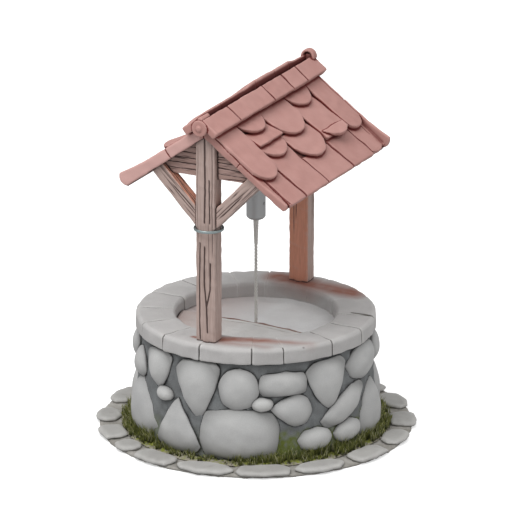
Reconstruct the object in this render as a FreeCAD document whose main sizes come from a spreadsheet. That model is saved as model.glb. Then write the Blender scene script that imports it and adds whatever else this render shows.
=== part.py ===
import FreeCAD, Part
import math
import os

import Sketcher

# Wishing well planter, in millimetres.
# The origin is the centre of the round paving, on the ground. +Z is up.
# The ridge of the roof runs along Y, and the gable with the rosette faces -Y.

V = FreeCAD.Vector
doc = FreeCAD.newDocument("WishingWell")
sheet = doc.addObject("Spreadsheet::Sheet", "dims")

SIZES = (
    ("seat_gap", 0.3, "clearance between pieces that rest on each other"),
    ("paving_radius", 800, "outer edge of the paving stones"),
    ("bed_inset", 10, "how far the mortar bed stays inside the stones"),
    ("bed_thick", 14, "mortar bed on the ground"),
    ("cobble_thick", 18, "paving stone on the bed"),
    ("cobble_depth", 112, "paving stone, from its outer edge inwards"),
    ("turf_play", 0.3, "turf to the paving stones"),
    ("turf_wave", 7, "how far the edge of the turf wanders in and out"),
    ("turf_thick", 12, "turf on the bed"),
    ("blade_height", 52, "tallest blade of grass"),
    ("wall_foot_radius", 612, "mortar face at the foot of the wall"),
    ("wall_top_radius", 572, "mortar face under the coping"),
    ("wall_inner_radius", 420, "inside of the wall"),
    ("wall_top", 524, "height of the wall under the coping"),
    ("boulder_rise", 27, "how far a wall stone stands out of the mortar"),
    ("coping_outer", 602, "outer radius of the coping ring"),
    ("coping_inner", 404, "inner radius of the coping ring"),
    ("coping_thick", 82, "coping stone"),
    ("coping_bevel", 12, "worn upper edges of a coping stone"),
    ("joint_gap", 4, "open joint between two coping stones"),
    ("floor_top", 518, "height of the planting floor"),
    ("floor_thick", 40, "floor slab"),
    ("floor_play", 2, "gap round the floor slab and the cover slab"),
    ("ledge_width", 45, "ledge in the wall that carries the floor slab"),
    ("cover_thick", 24, "half round cover slab"),
    ("post_wide", 107, "post, along the gable"),
    ("post_deep", 78, "post, along the ridge"),
    ("post_bevel", 5, "worn corners of a post"),
    ("frame_reach", 510, "centre of the well to the centre of a post"),
    ("tenon_wide", 34, "tenon under a post, along the gable"),
    ("tenon_deep", 40, "tenon in the coping"),
    ("ring_height", 1190, "middle of the steel hoop on a post"),
    ("ring_thick", 12, "bar of the hoop"),
    ("ring_high", 14, "hoop, along the post"),
    ("brace_foot", 1200, "lower corner of a brace on the post"),
    ("brace_angle", 46, "brace above level, in degrees"),
    ("brace_face", 74, "brace, seen from the gable"),
    ("brace_deep", 64, "brace, along the ridge"),
    ("roof_pitch", 38, "slope of the roof, in degrees"),
    ("deck_apex", 1711, "top of the roof boards at the ridge"),
    ("deck_thick", 18, "roof boards"),
    ("deck_length", 560, "roof boards, from ridge to eave down the slope"),
    ("deck_rows", 5, "roof boards on one slope"),
    ("board_gap", 1.5, "open joint between two boards"),
    ("beam_wide", 50, "ridge beam"),
    ("beam_high", 90, "ridge beam, to its crown"),
    ("purlin_size", 46, "side of the square purlin"),
    ("purlin_start", 330, "ridge to purlin, down the slope"),
    ("gable_floor", 1453, "lowest edge of the gable boards"),
    ("gable_pitch", 29, "height of one gable board"),
    ("gable_thick", 20, "gable board"),
    ("verge_face", 16, "leg of a verge piece, along the ridge"),
    ("verge_wide", 45, "flange of a verge piece, along the ridge"),
    ("verge_flange", 10, "flange of a verge piece on the roof boards"),
    ("verge_foot", 1671, "lower edge of the verge at the ridge"),
    ("verge_tip", 425, "ridge line to the lower corner of the verge"),
    ("verge_tip_height", 1362, "height of that corner"),
    ("verge_nose", 6, "sag of the rounded lower end of the verge"),
    ("verge_swell", 60, "lower end of a high verge, out from the roof boards"),
    ("verge_joint", 195, "ridge line to the joint of the two verge pieces"),
    ("tile_head", 8, "tile at its upper end"),
    ("tile_tail", 25, "tile at its lower end"),
    ("tile_lap", 40, "head of a tile under the next one up"),
    ("tile_gap", 3, "joint between two columns of tiles"),
    ("first_head", 16, "ridge to the uppermost tile heads, down the slope"),
    ("eave_line", 568, "ridge to the eave, down the slope"),
    ("ridge_slot", 26, "open slot along the ridge"),
    ("ridge_wide", 104, "ridge tile, down the slope"),
    ("ridge_bed", 0.6, "bed under the ridge tiles"),
    ("ridge_thick", 36, "ridge tile"),
    ("ridge_overhang", 39.7, "end of the ridge tiles outside the verge"),
    ("cap_length", 90, "infill of the slot at the front"),
    ("arch_outer", 37, "arched cap at the back end of the ridge"),
    ("arch_wall", 13, "wall of the arched cap"),
    ("arch_length", 40, "arched cap, along the ridge"),
    ("arch_web", 14, "back wall of the arched cap"),
    ("arch_lift", 11, "axis of the arched cap under the ridge tiles' crown"),
    ("rosette_radius", 42, "disc on the front end of the ridge"),
    ("rosette_thick", 8, "disc"),
    ("rosette_drop", 56, "centre of the disc under the ridge tiles' crown"),
    ("knob_radius", 12, "knob on the disc"),
    ("knob_proud", 8, "knob"),
    ("head_radius", 48.5, "grey swivel head"),
    ("head_top", 1259, "top of the swivel head"),
    ("head_high", 170, "swivel head"),
    ("head_plate", 24, "top of the swivel head over its bore"),
    ("head_bevel", 11, "bevelled lower edge of the swivel head"),
    ("bolt_radius", 8, "hanger bolt"),
    ("bolt_play", 0.05, "running clearance of the swivel"),
    ("bolt_bite", 60, "hanger bolt in the ridge beam"),
    ("bolt_head", 13.5, "hexagon head of the bolt in the swivel, across its corners, halved"),
    ("bolt_head_thick", 10, "head of the hanger bolt"),
    ("pin_height", 1174, "cross pin through the swivel head"),
    ("pin_radius", 7, "cross pin"),
    ("pin_proud", 2, "end of the pin outside the shell"),
    ("rope_radius", 8.5, "rope"),
    ("splice_radius", 15, "thick upper end of the rope in the swivel head"),
    ("splice_rise", 18, "end of the rope above the cross pin"),
    ("splice_end", 950, "height where the thick end has tapered to the rope"),
    ("rope_hole", 15, "radius of the hole in the floor slab"),
    ("knot_radius", 22, "stopper knot under the floor slab"),
    ("knot_high", 46, "stopper knot"),
)

for row, (alias, value, meaning) in enumerate(SIZES, start=1):
    sheet.set(f"A{row}", meaning)
    sheet.set(f"B{row}", str(value))
    sheet.setAlias(f"B{row}", alias)
doc.recompute()


def mm(alias):
    """The value of one cell of the sheet."""
    return float(sheet.get(alias))


# Expressions that several pieces share
TAN = "tan(dims.roof_pitch * 1 deg)"
COS = "cos(dims.roof_pitch * 1 deg)"
COPING_BASE = "(dims.wall_top + dims.seat_gap)"
COPING_TOP = "(dims.wall_top + dims.coping_thick)"
UNDER_DECK = f"(dims.deck_apex - dims.deck_thick / {COS} - dims.seat_gap)"
FLOOR_BASE = "(dims.floor_top - dims.floor_thick)"
HEAD_BASE = "(dims.head_top - dims.head_high)"

pitch = math.radians(mm("roof_pitch"))
under_deck = mm("deck_apex") - mm("deck_thick") / math.cos(pitch) - mm("seat_gap")
seat = mm("seat_gap")

pieces = []


def keep(obj, label):
    """Name an object and list it as one piece of the well."""
    obj.Label = label
    pieces.append(obj)
    return obj


def keep_shape(shape, label):
    """A piece whose shape comes from Part's own functions."""
    solids = shape.Solids
    obj = doc.addObject("Part::Feature", label)
    obj.Shape = solids[0] if len(solids) == 1 else Part.makeCompound(solids)
    return keep(obj, label)


# Where the corners of a new sketch stand before the sheet moves them
START_RADIUS = 100


def outline_sketch(body, name, role, corners):
    """A closed sketch of straight lines, each corner tied to the sheet."""
    sketch = body.newObject("Sketcher::SketchObject", name)
    plane = [item for item in body.Origin.OriginFeatures if item.Role == role][0]
    sketch.AttachmentSupport = [(plane, "")]
    sketch.MapMode = "FlatFace"
    count = len(corners)
    loose = []
    for index in range(count):
        turn = 2 * math.pi * (index + 0.3) / count
        loose.append(V(START_RADIUS * math.cos(turn), START_RADIUS * math.sin(turn), 0))
    for index in range(count):
        sketch.addGeometry(Part.LineSegment(loose[index], loose[(index + 1) % count]), False)
    for index in range(count):
        sketch.addConstraint(Sketcher.Constraint("Coincident", index, 2, (index + 1) % count, 1))
    for index, (across, up) in enumerate(corners):
        start = loose[index]
        tie = sketch.addConstraint(Sketcher.Constraint("DistanceX", -1, 1, index, 1, start.x))
        sketch.setExpression(f"Constraints[{tie}]", str(across))
        tie = sketch.addConstraint(Sketcher.Constraint("DistanceY", -1, 1, index, 1, start.y))
        sketch.setExpression(f"Constraints[{tie}]", str(up))
    return sketch


def turned_body(name, corners, angle=360):
    """A body turned about Z from a half section in the XZ plane."""
    body = doc.addObject("PartDesign::Body", name)
    sketch = outline_sketch(body, f"{name}_section", "XZ_Plane", corners)
    doc.recompute()
    turned = body.newObject("PartDesign::Revolution", f"{name}_turned")
    turned.Profile = sketch
    turned.ReferenceAxis = (sketch, ["V_Axis"])
    turned.Angle = angle
    return body


def padded_body(name, corners, length, centre_y="0"):
    """A body padded both ways along Y from an outline in the XZ plane."""
    body = doc.addObject("PartDesign::Body", name)
    sketch = outline_sketch(body, f"{name}_outline", "XZ_Plane", corners)
    doc.recompute()
    pad = body.newObject("PartDesign::Pad", f"{name}_pad")
    pad.Profile = sketch
    pad.setExpression("Length", str(length))
    pad.SideType = "Symmetric"
    body.setExpression("Placement.Base.y", str(centre_y))
    return body


def mirrored_corners(corners, side):
    """The same outline on the other side of the ridge."""
    return [(f"{side} * ({across})", up) for across, up in corners]


def bar(name, radius, length, base, along=V(0, 0, 1)):
    """A round bar: radius, length and base are expressions."""
    rod = doc.addObject("Part::Cylinder", name)
    rod.setExpression("Radius", radius)
    rod.setExpression("Height", length)
    for axis, place in zip("xyz", base):
        rod.setExpression(f"Placement.Base.{axis}", str(place))
    rod.Placement.Rotation = FreeCAD.Rotation(V(0, 0, 1), along)
    return rod


def cut_from(name, base, tools):
    """The base piece with the tools cut out of it."""
    if len(tools) == 1:
        tool = tools[0]
    else:
        tool = doc.addObject("Part::MultiFuse", f"{name}_tools")
        tool.Shapes = tools
    cut = doc.addObject("Part::Cut", f"{name}_cut")
    cut.Base = base
    cut.Tool = tool
    return cut


def prism(points, sweep):
    """A solid swept from a flat outline of straight sides."""
    return Part.Face(Part.makePolygon(points + points[:1])).extrude(sweep)


def ring_of_points(radius, height, count):
    """Corners of a regular polygon round the well."""
    turn = 2 * math.pi / count
    return [V(radius * math.cos(turn * step), radius * math.sin(turn * step), height)
            for step in range(count)]


def closed_solid(rings, crown):
    """A faceted solid: stacked rings of points, a flat-fanned base and a crown."""
    faces = []

    def facet(a, b, c):
        faces.append(Part.Face(Part.makePolygon([a, b, c, a])))

    count = len(rings[0])
    middle = V(0, 0, 0)
    for point in rings[0]:
        middle = middle + point * (1.0 / count)
    for index in range(count):
        after = (index + 1) % count
        facet(middle, rings[0][after], rings[0][index])
        for low, high in zip(rings, rings[1:]):
            facet(low[index], low[after], high[index])
            facet(low[after], high[after], high[index])
        facet(rings[-1][index], rings[-1][after], crown)
    solid = Part.Solid(Part.Shell(faces))
    if solid.Volume < 0:
        solid.reverse()
    return solid


# Paving: a mortar bed with flat cobbles round its edge
bed = turned_body("paving_bed", [
    ("0", "0"),
    ("dims.paving_radius - dims.bed_inset", "0"),
    ("dims.paving_radius - dims.bed_inset", "dims.bed_thick"),
    ("0", "dims.bed_thick"),
])
keep(bed, "paving_bed")

# Outlines of natural stones inside a box from -1 to 1, anticlockwise
STONE_FORMS = {
    "round": ((1, 0), (0.75, 0.7), (0.1, 1), (-0.6, 0.85), (-1, 0.15),
              (-0.8, -0.65), (-0.15, -1), (0.65, -0.75)),
    "slab": ((1, 0.3), (0.8, 0.92), (0, 1), (-0.85, 0.85), (-1, -0.3),
             (-0.75, -0.95), (0.1, -1), (0.88, -0.85)),
    "leaf": ((0.62, 0.3), (0.1, 1), (-0.42, 0.8), (-0.85, 0.1), (-1, -0.6),
             (-0.5, -1), (0.5, -0.95), (1, -0.4)),
    "tear": ((0.45, 0.3), (-0.05, 1), (-0.45, 0.6), (-0.85, -0.15), (-1, -0.7),
             (-0.4, -1), (0.6, -0.97), (1, -0.5)),
    "wedge": ((1, 0.7), (0.65, 1), (-0.6, 0.95), (-1, 0.5), (-0.6, -0.4),
              (0, -1), (0.35, -0.85), (0.78, -0.05)),
    "egg": ((1, -0.1), (0.78, 0.7), (0.2, 1), (-0.5, 0.75), (-1, 0.25),
            (-0.6, -0.35), (0.1, -0.9), (0.7, -0.85)),
    "slant": ((1, 0.55), (0.8, 1), (0.3, 0.9), (-0.4, 0.35), (-1, -0.5),
              (-0.85, -1), (-0.3, -0.9), (0.5, -0.2)),
}

# Cobbles: place round the paving and width, both in degrees, and outline
COBBLES = (
    (-157, 11.6, "round"), (-138, 11.6, "slab"), (-122, 9.1, "round"), (-105, 15.4, "slab"),
    (-83, 20.2, "round"), (-60, 18.1, "slab"), (-38, 18.1, "round"), (-15, 15, "slab"),
    (6, 13.5, "round"), (26, 12.3, "slab"), (47, 14.6, "round"), (69, 17.3, "slab"),
    (91, 18.1, "round"), (113, 16.6, "slab"), (135, 17.7, "round"), (156, 14.6, "slab"),
    (180, 15.4, "round"),
)
# Levels of a cobble: share of its thickness, share of its outline
COBBLE_LEVELS = ((0, 0.95), (0.6, 1.0), (1.0, 0.87))


def cobble(angle, width, form):
    """One flat stone with a worn upper edge."""
    half_depth = mm("cobble_depth") / 2
    middle = mm("paving_radius") - half_depth
    low = mm("bed_thick")
    rings = []
    for rise, share in COBBLE_LEVELS:
        ring = []
        for across, out in STONE_FORMS[form]:
            reach = middle + out * share * half_depth
            swing = math.radians(angle - across * share * width / 2)
            height = low + rise * mm("cobble_thick")
            ring.append(V(reach * math.cos(swing), reach * math.sin(swing), height))
        rings.append(ring)
    turn = math.radians(angle)
    crown = V(middle * math.cos(turn), middle * math.sin(turn), low + mm("cobble_thick"))
    return closed_solid(rings, crown)


keep_shape(Part.makeCompound([cobble(*entry) for entry in COBBLES]), "paving_stones")

# Turf round the wall, with an edge that wanders, and tufts of grass on it
BED_SIDES = 36
TURF_WAVES = 7


turf_reach = mm("paving_radius") - mm("cobble_depth") - mm("turf_play")


def turf_ring():
    """A flat ring of turf with straight cuts."""
    turn = 2 * math.pi / BED_SIDES
    low = mm("bed_thick")
    edge = []
    for step in range(BED_SIDES):
        sway = math.sin(TURF_WAVES * turn * step) + math.cos((TURF_WAVES + 4) * turn * step)
        reach = turf_reach + mm("turf_wave") * (sway / 2 - 1)
        edge.append(V(reach * math.cos(turn * step), reach * math.sin(turn * step), low))
    inside = (mm("wall_foot_radius") + mm("seat_gap")) / math.cos(turn / 2)
    hole = ring_of_points(inside, low, BED_SIDES)
    up = V(0, 0, mm("turf_thick"))
    return prism(edge, up).cut(prism(hole, up))


keep_shape(turf_ring(), "turf")


def grass_blade(foot, turn, height, lean):
    """One blade: a narrow three-sided point that leans outwards."""
    width = height / 9
    corners = []
    for third in range(3):
        swing = turn + third * 2 * math.pi / 3
        corners.append(foot + V(width * math.cos(swing), width * math.sin(swing), 0))
    tip = foot + V(lean * math.cos(turn), lean * math.sin(turn), height)
    sides = [Part.Face(Part.makePolygon([corners[2], corners[1], corners[0], corners[2]]))]
    for third in range(3):
        after = (third + 1) % 3
        ring = [corners[third], corners[after], tip, corners[third]]
        sides.append(Part.Face(Part.makePolygon(ring)))
    solid = Part.Solid(Part.Shell(sides))
    if solid.Volume < 0:
        solid.reverse()
    return solid


TUFTS = 44
TUFT_TURN = math.radians(137.508)
TUFT_STEP = 0.381966
GRASS_MARGIN = 16
SHORT_BLADE = 0.6


def grass_tufts():
    """Tufts of two blades, spread round the wall by the golden angle."""
    blades = []
    base = mm("bed_thick") + mm("turf_thick")
    inner = mm("wall_foot_radius") + mm("boulder_rise") + mm("blade_height") / 9
    outer = turf_reach - 2 * mm("turf_wave") - GRASS_MARGIN
    for index in range(TUFTS):
        turn = index * TUFT_TURN
        reach = inner + (outer - inner) * ((index * TUFT_STEP) % 1)
        for blade in (-1, 1):
            swing = turn + blade * mm("blade_height") / 6 / reach
            foot = V(reach * math.cos(swing), reach * math.sin(swing), base)
            share = (index * 3 + blade) * (1 - TUFT_STEP) % 1
            height = mm("blade_height") * (SHORT_BLADE + (1 - SHORT_BLADE) * share)
            blades.append(grass_blade(foot, turn + blade, height, height / 4))
    return Part.makeCompound(blades)


keep_shape(grass_tufts(), "grass")

# Wall: a hollow mortar ring of flat faces, rebated on top for the floor slab
def mortar_block(clearance):
    """A tapered block with a flat face for each bed of stones."""
    grow = 1 / math.cos(math.pi / BED_SIDES)
    foot = (mm("wall_foot_radius") + clearance) * grow
    top = (mm("wall_top_radius") + clearance) * grow
    low = ring_of_points(foot, mm("bed_thick"), BED_SIDES)
    high = ring_of_points(top, mm("wall_top"), BED_SIDES)
    faces = [Part.Face(Part.makePolygon(ring + ring[:1])) for ring in (low, high)]
    for step in range(BED_SIDES):
        after = (step + 1) % BED_SIDES
        corners = [low[step], low[after], high[after], high[step], low[step]]
        faces.append(Part.Face(Part.makePolygon(corners)))
    block = Part.Solid(Part.Shell(faces))
    if block.Volume < 0:
        block.reverse()
    return block


well_radius = mm("wall_inner_radius") - mm("ledge_width")
rebate_low = mm("floor_top") - mm("floor_thick") - seat
well = Part.makeCylinder(well_radius, mm("wall_top"))
rebate = Part.makeCylinder(mm("wall_inner_radius"), mm("wall_top"), V(0, 0, rebate_low))
keep_shape(mortar_block(0).cut([well, rebate]), "wall_core")

# Wall stones: middle and width in degrees, lower and upper height in percent of the wall
BOULDERS = (
    (-154.5, 12.5, 68, 97, "round"), (-138.5, 15, 61.5, 88, "leaf"),
    (-118.7, 19, 61.5, 96.9, "wedge"), (-134.7, 35, 7, 59.5, "leaf"),
    (-112, 10, 52, 63, "round"), (-93, 22.6, 43.5, 97, "wedge"),
    (-103, 23.8, 6.5, 55.7, "tear"), (-71.3, 18.2, 54.6, 93.5, "round"),
    (-49.8, 23, 68.8, 89.6, "slab"), (-60, 9.4, 54.4, 66, "round"),
    (-71.3, 36, 7, 52.6, "slab"), (-45.9, 18.8, 37, 67, "egg"),
    (-26.3, 21.8, 48.5, 95.5, "wedge"), (-15.2, 29, 29.4, 64, "slant"),
    (-34.2, 17, 11.5, 31.5, "round"), (-14.6, 17.5, 12.5, 31.5, "round"),
    (3, 30, 66, 97, "round"), (10.4, 31, 5.5, 57, "leaf"),
)
FRONT_UP_TO = -65


def wall_face(height):
    """Radius of the mortar face at a height."""
    share = (height - mm("bed_thick")) / (mm("wall_top") - mm("bed_thick"))
    return mm("wall_foot_radius") + share * (mm("wall_top_radius") - mm("wall_foot_radius"))


# Levels of a wall stone: share of its rise out of the mortar, share of its outline
BOULDER_LEVELS = ((-0.4, 0.96), (0.3, 1.0), (0.82, 0.84))


def boulder(block, angle, spread, low, high, form):
    """One stone bedded on the mortar face."""
    rise = mm("boulder_rise")
    low, high = low * mm("wall_top") / 100, high * mm("wall_top") / 100
    rings = []
    for out, share in BOULDER_LEVELS:
        ring = []
        for across, up in STONE_FORMS[form]:
            height = (low + high) / 2 + up * share * (high - low) / 2
            swing = math.radians(angle + across * share * spread / 2)
            reach = wall_face(height) + out * rise
            ring.append(V(reach * math.cos(swing), reach * math.sin(swing), height))
        rings.append(ring)
    middle = (low + high) / 2
    reach = wall_face(middle) + rise
    turn = math.radians(angle)
    crown = V(reach * math.cos(turn), reach * math.sin(turn), middle)
    return closed_solid(rings, crown).cut(block)


bedding = mortar_block(seat)
for turned, low_name, high_name in ((0, "front", "right"), (180, "back", "left")):
    groups = {low_name: [], high_name: []}
    for angle, spread, low, high, form in BOULDERS:
        name = low_name if angle < FRONT_UP_TO else high_name
        groups[name].append(boulder(bedding, angle + turned, spread, low, high, form))
    for name, stones in groups.items():
        keep_shape(Part.makeCompound(stones), f"wall_stones_{name}")

# Mortises in the coping for the tenons of the posts
mortises = []
for end, name in ((-1, "front"), (1, "back")):
    mortise = doc.addObject("Part::Box", f"mortise_{name}")
    mortise.setExpression("Length", "dims.tenon_wide + 2 * dims.seat_gap")
    mortise.setExpression("Width", "dims.post_deep + 2 * dims.seat_gap")
    mortise.setExpression("Height", "dims.tenon_deep + dims.coping_thick")
    mortise.setExpression("Placement.Base.x", "-dims.tenon_wide / 2 - dims.seat_gap")
    mortise.setExpression("Placement.Base.y",
                          f"{end} * dims.frame_reach - dims.post_deep / 2 - dims.seat_gap")
    mortise.setExpression("Placement.Base.z", f"{COPING_TOP} - dims.tenon_deep - dims.seat_gap")
    mortises.append(mortise)
doc.recompute()

# Coping: the joints of the ring in degrees, anticlockwise from the left front
COPING_JOINTS = (-156, -134, -113.5, -91, -65, -50, -24, -2, 17.5, 47, 78, 110, 130, 157, 180)
coping_corners = [
    ("dims.coping_inner", COPING_BASE),
    ("dims.coping_outer", COPING_BASE),
    ("dims.coping_outer", f"{COPING_TOP} - dims.coping_bevel"),
    ("dims.coping_outer - dims.coping_bevel", COPING_TOP),
    ("dims.coping_inner + dims.coping_bevel", COPING_TOP),
    ("dims.coping_inner", f"{COPING_TOP} - dims.coping_bevel"),
]
GAP_TURN = "dims.joint_gap / dims.coping_outer * 180 / pi"
coping_stones = []
for index, start in enumerate(COPING_JOINTS):
    stop = COPING_JOINTS[(index + 1) % len(COPING_JOINTS)]
    span = (stop - start) % 360
    name = f"coping_stone_{index + 1:02d}"
    stone = turned_body(f"{name}_body", coping_corners)
    stone.Group[-1].setExpression("Angle", f"{span} - {GAP_TURN}")
    stone.Placement.Rotation = FreeCAD.Rotation(V(0, 0, 1), start)
    stone.setExpression("Placement.Rotation.Angle", f"{start} + {GAP_TURN} / 2")
    doc.recompute()
    reached = [mortise for mortise in mortises if stone.Shape.common(mortise.Shape).Volume > 1]
    if reached:
        stone = cut_from(name, stone, reached)
    coping_stones.append(stone)
coping = doc.addObject("Part::Compound", "coping_stones")
coping.Links = coping_stones
keep(coping, "coping_stones")

# Floor slab on the ledge, with the hole for the rope
floor_corners = [
    ("dims.rope_hole", FLOOR_BASE),
    ("dims.wall_inner_radius - dims.floor_play", FLOOR_BASE),
    ("dims.wall_inner_radius - dims.floor_play", "dims.floor_top"),
    ("dims.rope_hole", "dims.floor_top"),
]
keep(turned_body("floor_slab", floor_corners), "floor_slab")


# Worn edge of the cover slab: places across the well and along it
COVER_EDGE = ((-170, -13), (0, -11), (160, -24), (320, -45))
COVER_LEFT_END = -20
COVER_RIGHT_END = -58


def cover_slab():
    """The half round slab: a worn wavy edge across the well and a round back."""
    radius = mm("coping_inner") - mm("floor_play")
    base = mm("floor_top") + seat
    left = V(-math.sqrt(radius ** 2 - COVER_LEFT_END ** 2), COVER_LEFT_END, base)
    right = V(math.sqrt(radius ** 2 - COVER_RIGHT_END ** 2), COVER_RIGHT_END, base)
    wave = Part.BSplineCurve()
    wave.interpolate([left] + [V(across, along, base) for across, along in COVER_EDGE] + [right])
    back = Part.Arc(right, V(0, -radius, base), left)
    outline = Part.Wire([wave.toShape(), back.toShape()])
    return Part.Face(outline).extrude(V(0, 0, mm("cover_thick")))


keep_shape(cover_slab(), "cover_slab")

# Posts: square timber with a tenon, cut to the roof on top and slotted for the ridge beam
POST_HALF = "dims.post_wide / 2"
POST_FOOT = f"({COPING_TOP} + dims.seat_gap)"
TENON_HALF = "dims.tenon_wide / 2"
TENON_FOOT = f"({COPING_TOP} - dims.tenon_deep)"
BEAM_BASE = f"({UNDER_DECK} - dims.beam_high)"
post_corners = [
    (f"-{POST_HALF}", POST_FOOT),
    (f"-{TENON_HALF}", POST_FOOT),
    (f"-{TENON_HALF}", TENON_FOOT),
    (TENON_HALF, TENON_FOOT),
    (TENON_HALF, POST_FOOT),
    (POST_HALF, POST_FOOT),
    (POST_HALF, f"{UNDER_DECK} - {POST_HALF} * {TAN}"),
    ("0", UNDER_DECK),
    (f"-{POST_HALF}", f"{UNDER_DECK} - {POST_HALF} * {TAN}"),
]
SLOT_HALF = "(dims.beam_wide / 2 + dims.seat_gap)"
slot_corners = [
    (f"-{SLOT_HALF}", f"{BEAM_BASE} - dims.seat_gap"),
    (SLOT_HALF, f"{BEAM_BASE} - dims.seat_gap"),
    (SLOT_HALF, f"{UNDER_DECK} + dims.beam_wide"),
    (f"-{SLOT_HALF}", f"{UNDER_DECK} + dims.beam_wide"),
]


def long_upright_edges(shape, shortest):
    """Names of the upright edges longer than the given length."""
    names = []
    for number, edge in enumerate(shape.Edges, start=1):
        box = edge.BoundBox
        if box.ZLength > shortest and box.XLength < 0.01 and box.YLength < 0.01:
            names.append(f"Edge{number}")
    return names


for end, name in ((-1, "front"), (1, "back")):
    post = padded_body(f"post_{name}", post_corners, "dims.post_deep",
                       f"{end} * dims.frame_reach")
    doc.recompute()
    timber = post.Tip
    worn = post.newObject("PartDesign::Chamfer", f"post_{name}_worn")
    worn.Base = (timber, long_upright_edges(timber.Shape, mm("post_wide") * 4))
    worn.setExpression("Size", "dims.post_bevel")
    doc.recompute()
    slot_sketch = outline_sketch(post, f"post_{name}_slot", "XZ_Plane", slot_corners)
    doc.recompute()
    solid_volume = post.Shape.Volume
    slot = post.newObject("PartDesign::Pocket", f"post_{name}_pocket")
    slot.Profile = slot_sketch
    slot.setExpression("Length", "dims.post_deep")
    slot.Reversed = end > 0
    doc.recompute()
    assert post.Shape.Volume < solid_volume, "the slot for the beam was not cut"
    assert end * post.Shape.CenterOfGravity.y > mm("frame_reach"), "the slot is on the outside"
    keep(post, f"post_{name}")

# Steel hoops, driven over the corners of the posts
HOOP_INSIDE = ("(sqrt((dims.post_wide / 2)^2 + (dims.post_deep / 2)^2)"
               " - dims.post_bevel / 2 + dims.seat_gap)")
HOOP_LOW = "(dims.ring_height - dims.ring_high / 2)"
HOOP_HIGH = "(dims.ring_height + dims.ring_high / 2)"
hoop_corners = [(HOOP_INSIDE, HOOP_LOW), (f"{HOOP_INSIDE} + dims.ring_thick", HOOP_LOW),
                (f"{HOOP_INSIDE} + dims.ring_thick", HOOP_HIGH), (HOOP_INSIDE, HOOP_HIGH)]
hoops = []
for end, name in ((-1, "hoop_front"), (1, "hoop_back")):
    hoop = turned_body(name, hoop_corners)
    hoop.setExpression("Placement.Base.y", f"{end} * dims.frame_reach")
    hoops.append(hoop)
rings = doc.addObject("Part::Compound", "post_rings")
rings.Links = hoops
keep(rings, "post_rings")

# Braces: two on each post, cut plumb on the post and to the roof on top
RISE = "tan(dims.brace_angle * 1 deg)"
BRACE_IN = f"({POST_HALF} + dims.seat_gap)"
BRACE_UP = "(dims.brace_face / cos(dims.brace_angle * 1 deg))"
LOW_END = f"(({UNDER_DECK} - dims.brace_foot + {BRACE_IN} * {RISE}) / ({RISE} + {TAN}))"
HIGH_END = (f"(({UNDER_DECK} - dims.brace_foot - {BRACE_UP} + {BRACE_IN} * {RISE})"
            f" / ({RISE} + {TAN}))")
brace_corners = [
    (BRACE_IN, "dims.brace_foot"),
    (LOW_END, f"{UNDER_DECK} - {LOW_END} * {TAN}"),
    (HIGH_END, f"{UNDER_DECK} - {HIGH_END} * {TAN}"),
    (BRACE_IN, f"dims.brace_foot + {BRACE_UP}"),
]
for end, end_name in ((-1, "front"), (1, "back")):
    for side, side_name in ((-1, "left"), (1, "right")):
        label = f"brace_{end_name}_{side_name}"
        brace = padded_body(label, mirrored_corners(brace_corners, side), "dims.brace_deep",
                            f"{end} * dims.frame_reach")
        keep(brace, label)

# Ridge beam in the stopped slots of the posts, with the hole for the hanger bolt
BEAM_HALF = "dims.beam_wide / 2"
beam_corners = [
    (f"-{BEAM_HALF}", BEAM_BASE),
    (BEAM_HALF, BEAM_BASE),
    (BEAM_HALF, f"{UNDER_DECK} - {BEAM_HALF} * {TAN}"),
    ("0", UNDER_DECK),
    (f"-{BEAM_HALF}", f"{UNDER_DECK} - {BEAM_HALF} * {TAN}"),
]
beam = padded_body("ridge_beam_body", beam_corners, "2 * (dims.frame_reach - dims.seat_gap)")
bolt_hole = bar("bolt_hole", "dims.bolt_radius + dims.bolt_play",
                "dims.bolt_bite + dims.seat_gap", ("0", "0", BEAM_BASE))
keep(cut_from("ridge_beam", beam, [bolt_hole]), "ridge_beam")


def slope_point(down, out, side=1, along=0.0):
    """A point of the roof: distance down the slope and out from the boards' top."""
    across = down * math.cos(pitch) + out * math.sin(pitch)
    height = mm("deck_apex") - down * math.sin(pitch) + out * math.cos(pitch)
    return V(side * across, along, height)


def slope_bar(side, corners, low_y, high_y):
    """A bar along the ridge, from corners given down the slope and out of it."""
    points = [slope_point(down, out, side, low_y) for down, out in corners]
    return prism(points, V(0, high_y - low_y, 0))


# Purlins between the braces, under the roof boards
purlin_reach = mm("frame_reach") - mm("brace_deep") / 2
purlin_top = -mm("deck_thick") - seat
purlin_stop = mm("purlin_start") + mm("purlin_size")
purlin_base = purlin_top - mm("purlin_size")
purlin_corners = [(mm("purlin_start"), purlin_base), (purlin_stop, purlin_base),
                  (purlin_stop, purlin_top), (mm("purlin_start"), purlin_top)]
purlins = [slope_bar(side, purlin_corners, seat - purlin_reach, purlin_reach - seat)
           for side in (-1, 1)]
keep_shape(Part.makeCompound(purlins), "purlins")

# Roof boards along the ridge
deck_reach = mm("frame_reach") + mm("post_deep") / 2
board_pitch = mm("deck_length") / mm("deck_rows")
plumb = mm("deck_thick") * math.tan(pitch)


def roof_boards(side):
    """The boards of one slope; the uppermost is cut plumb at the ridge."""
    boards = []
    for row in range(int(mm("deck_rows"))):
        low = row * board_pitch + mm("board_gap") / 2
        high = (row + 1) * board_pitch - mm("board_gap") / 2
        under = low + plumb if row == 0 else low
        corners = [(under, -mm("deck_thick")), (high, -mm("deck_thick")), (high, 0), (low, 0)]
        boards.append(slope_bar(side, corners, -deck_reach, deck_reach))
    return Part.makeCompound(boards)


for side, name in ((-1, "left"), (1, "right")):
    keep_shape(roof_boards(side), f"roof_boards_{name}")

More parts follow.
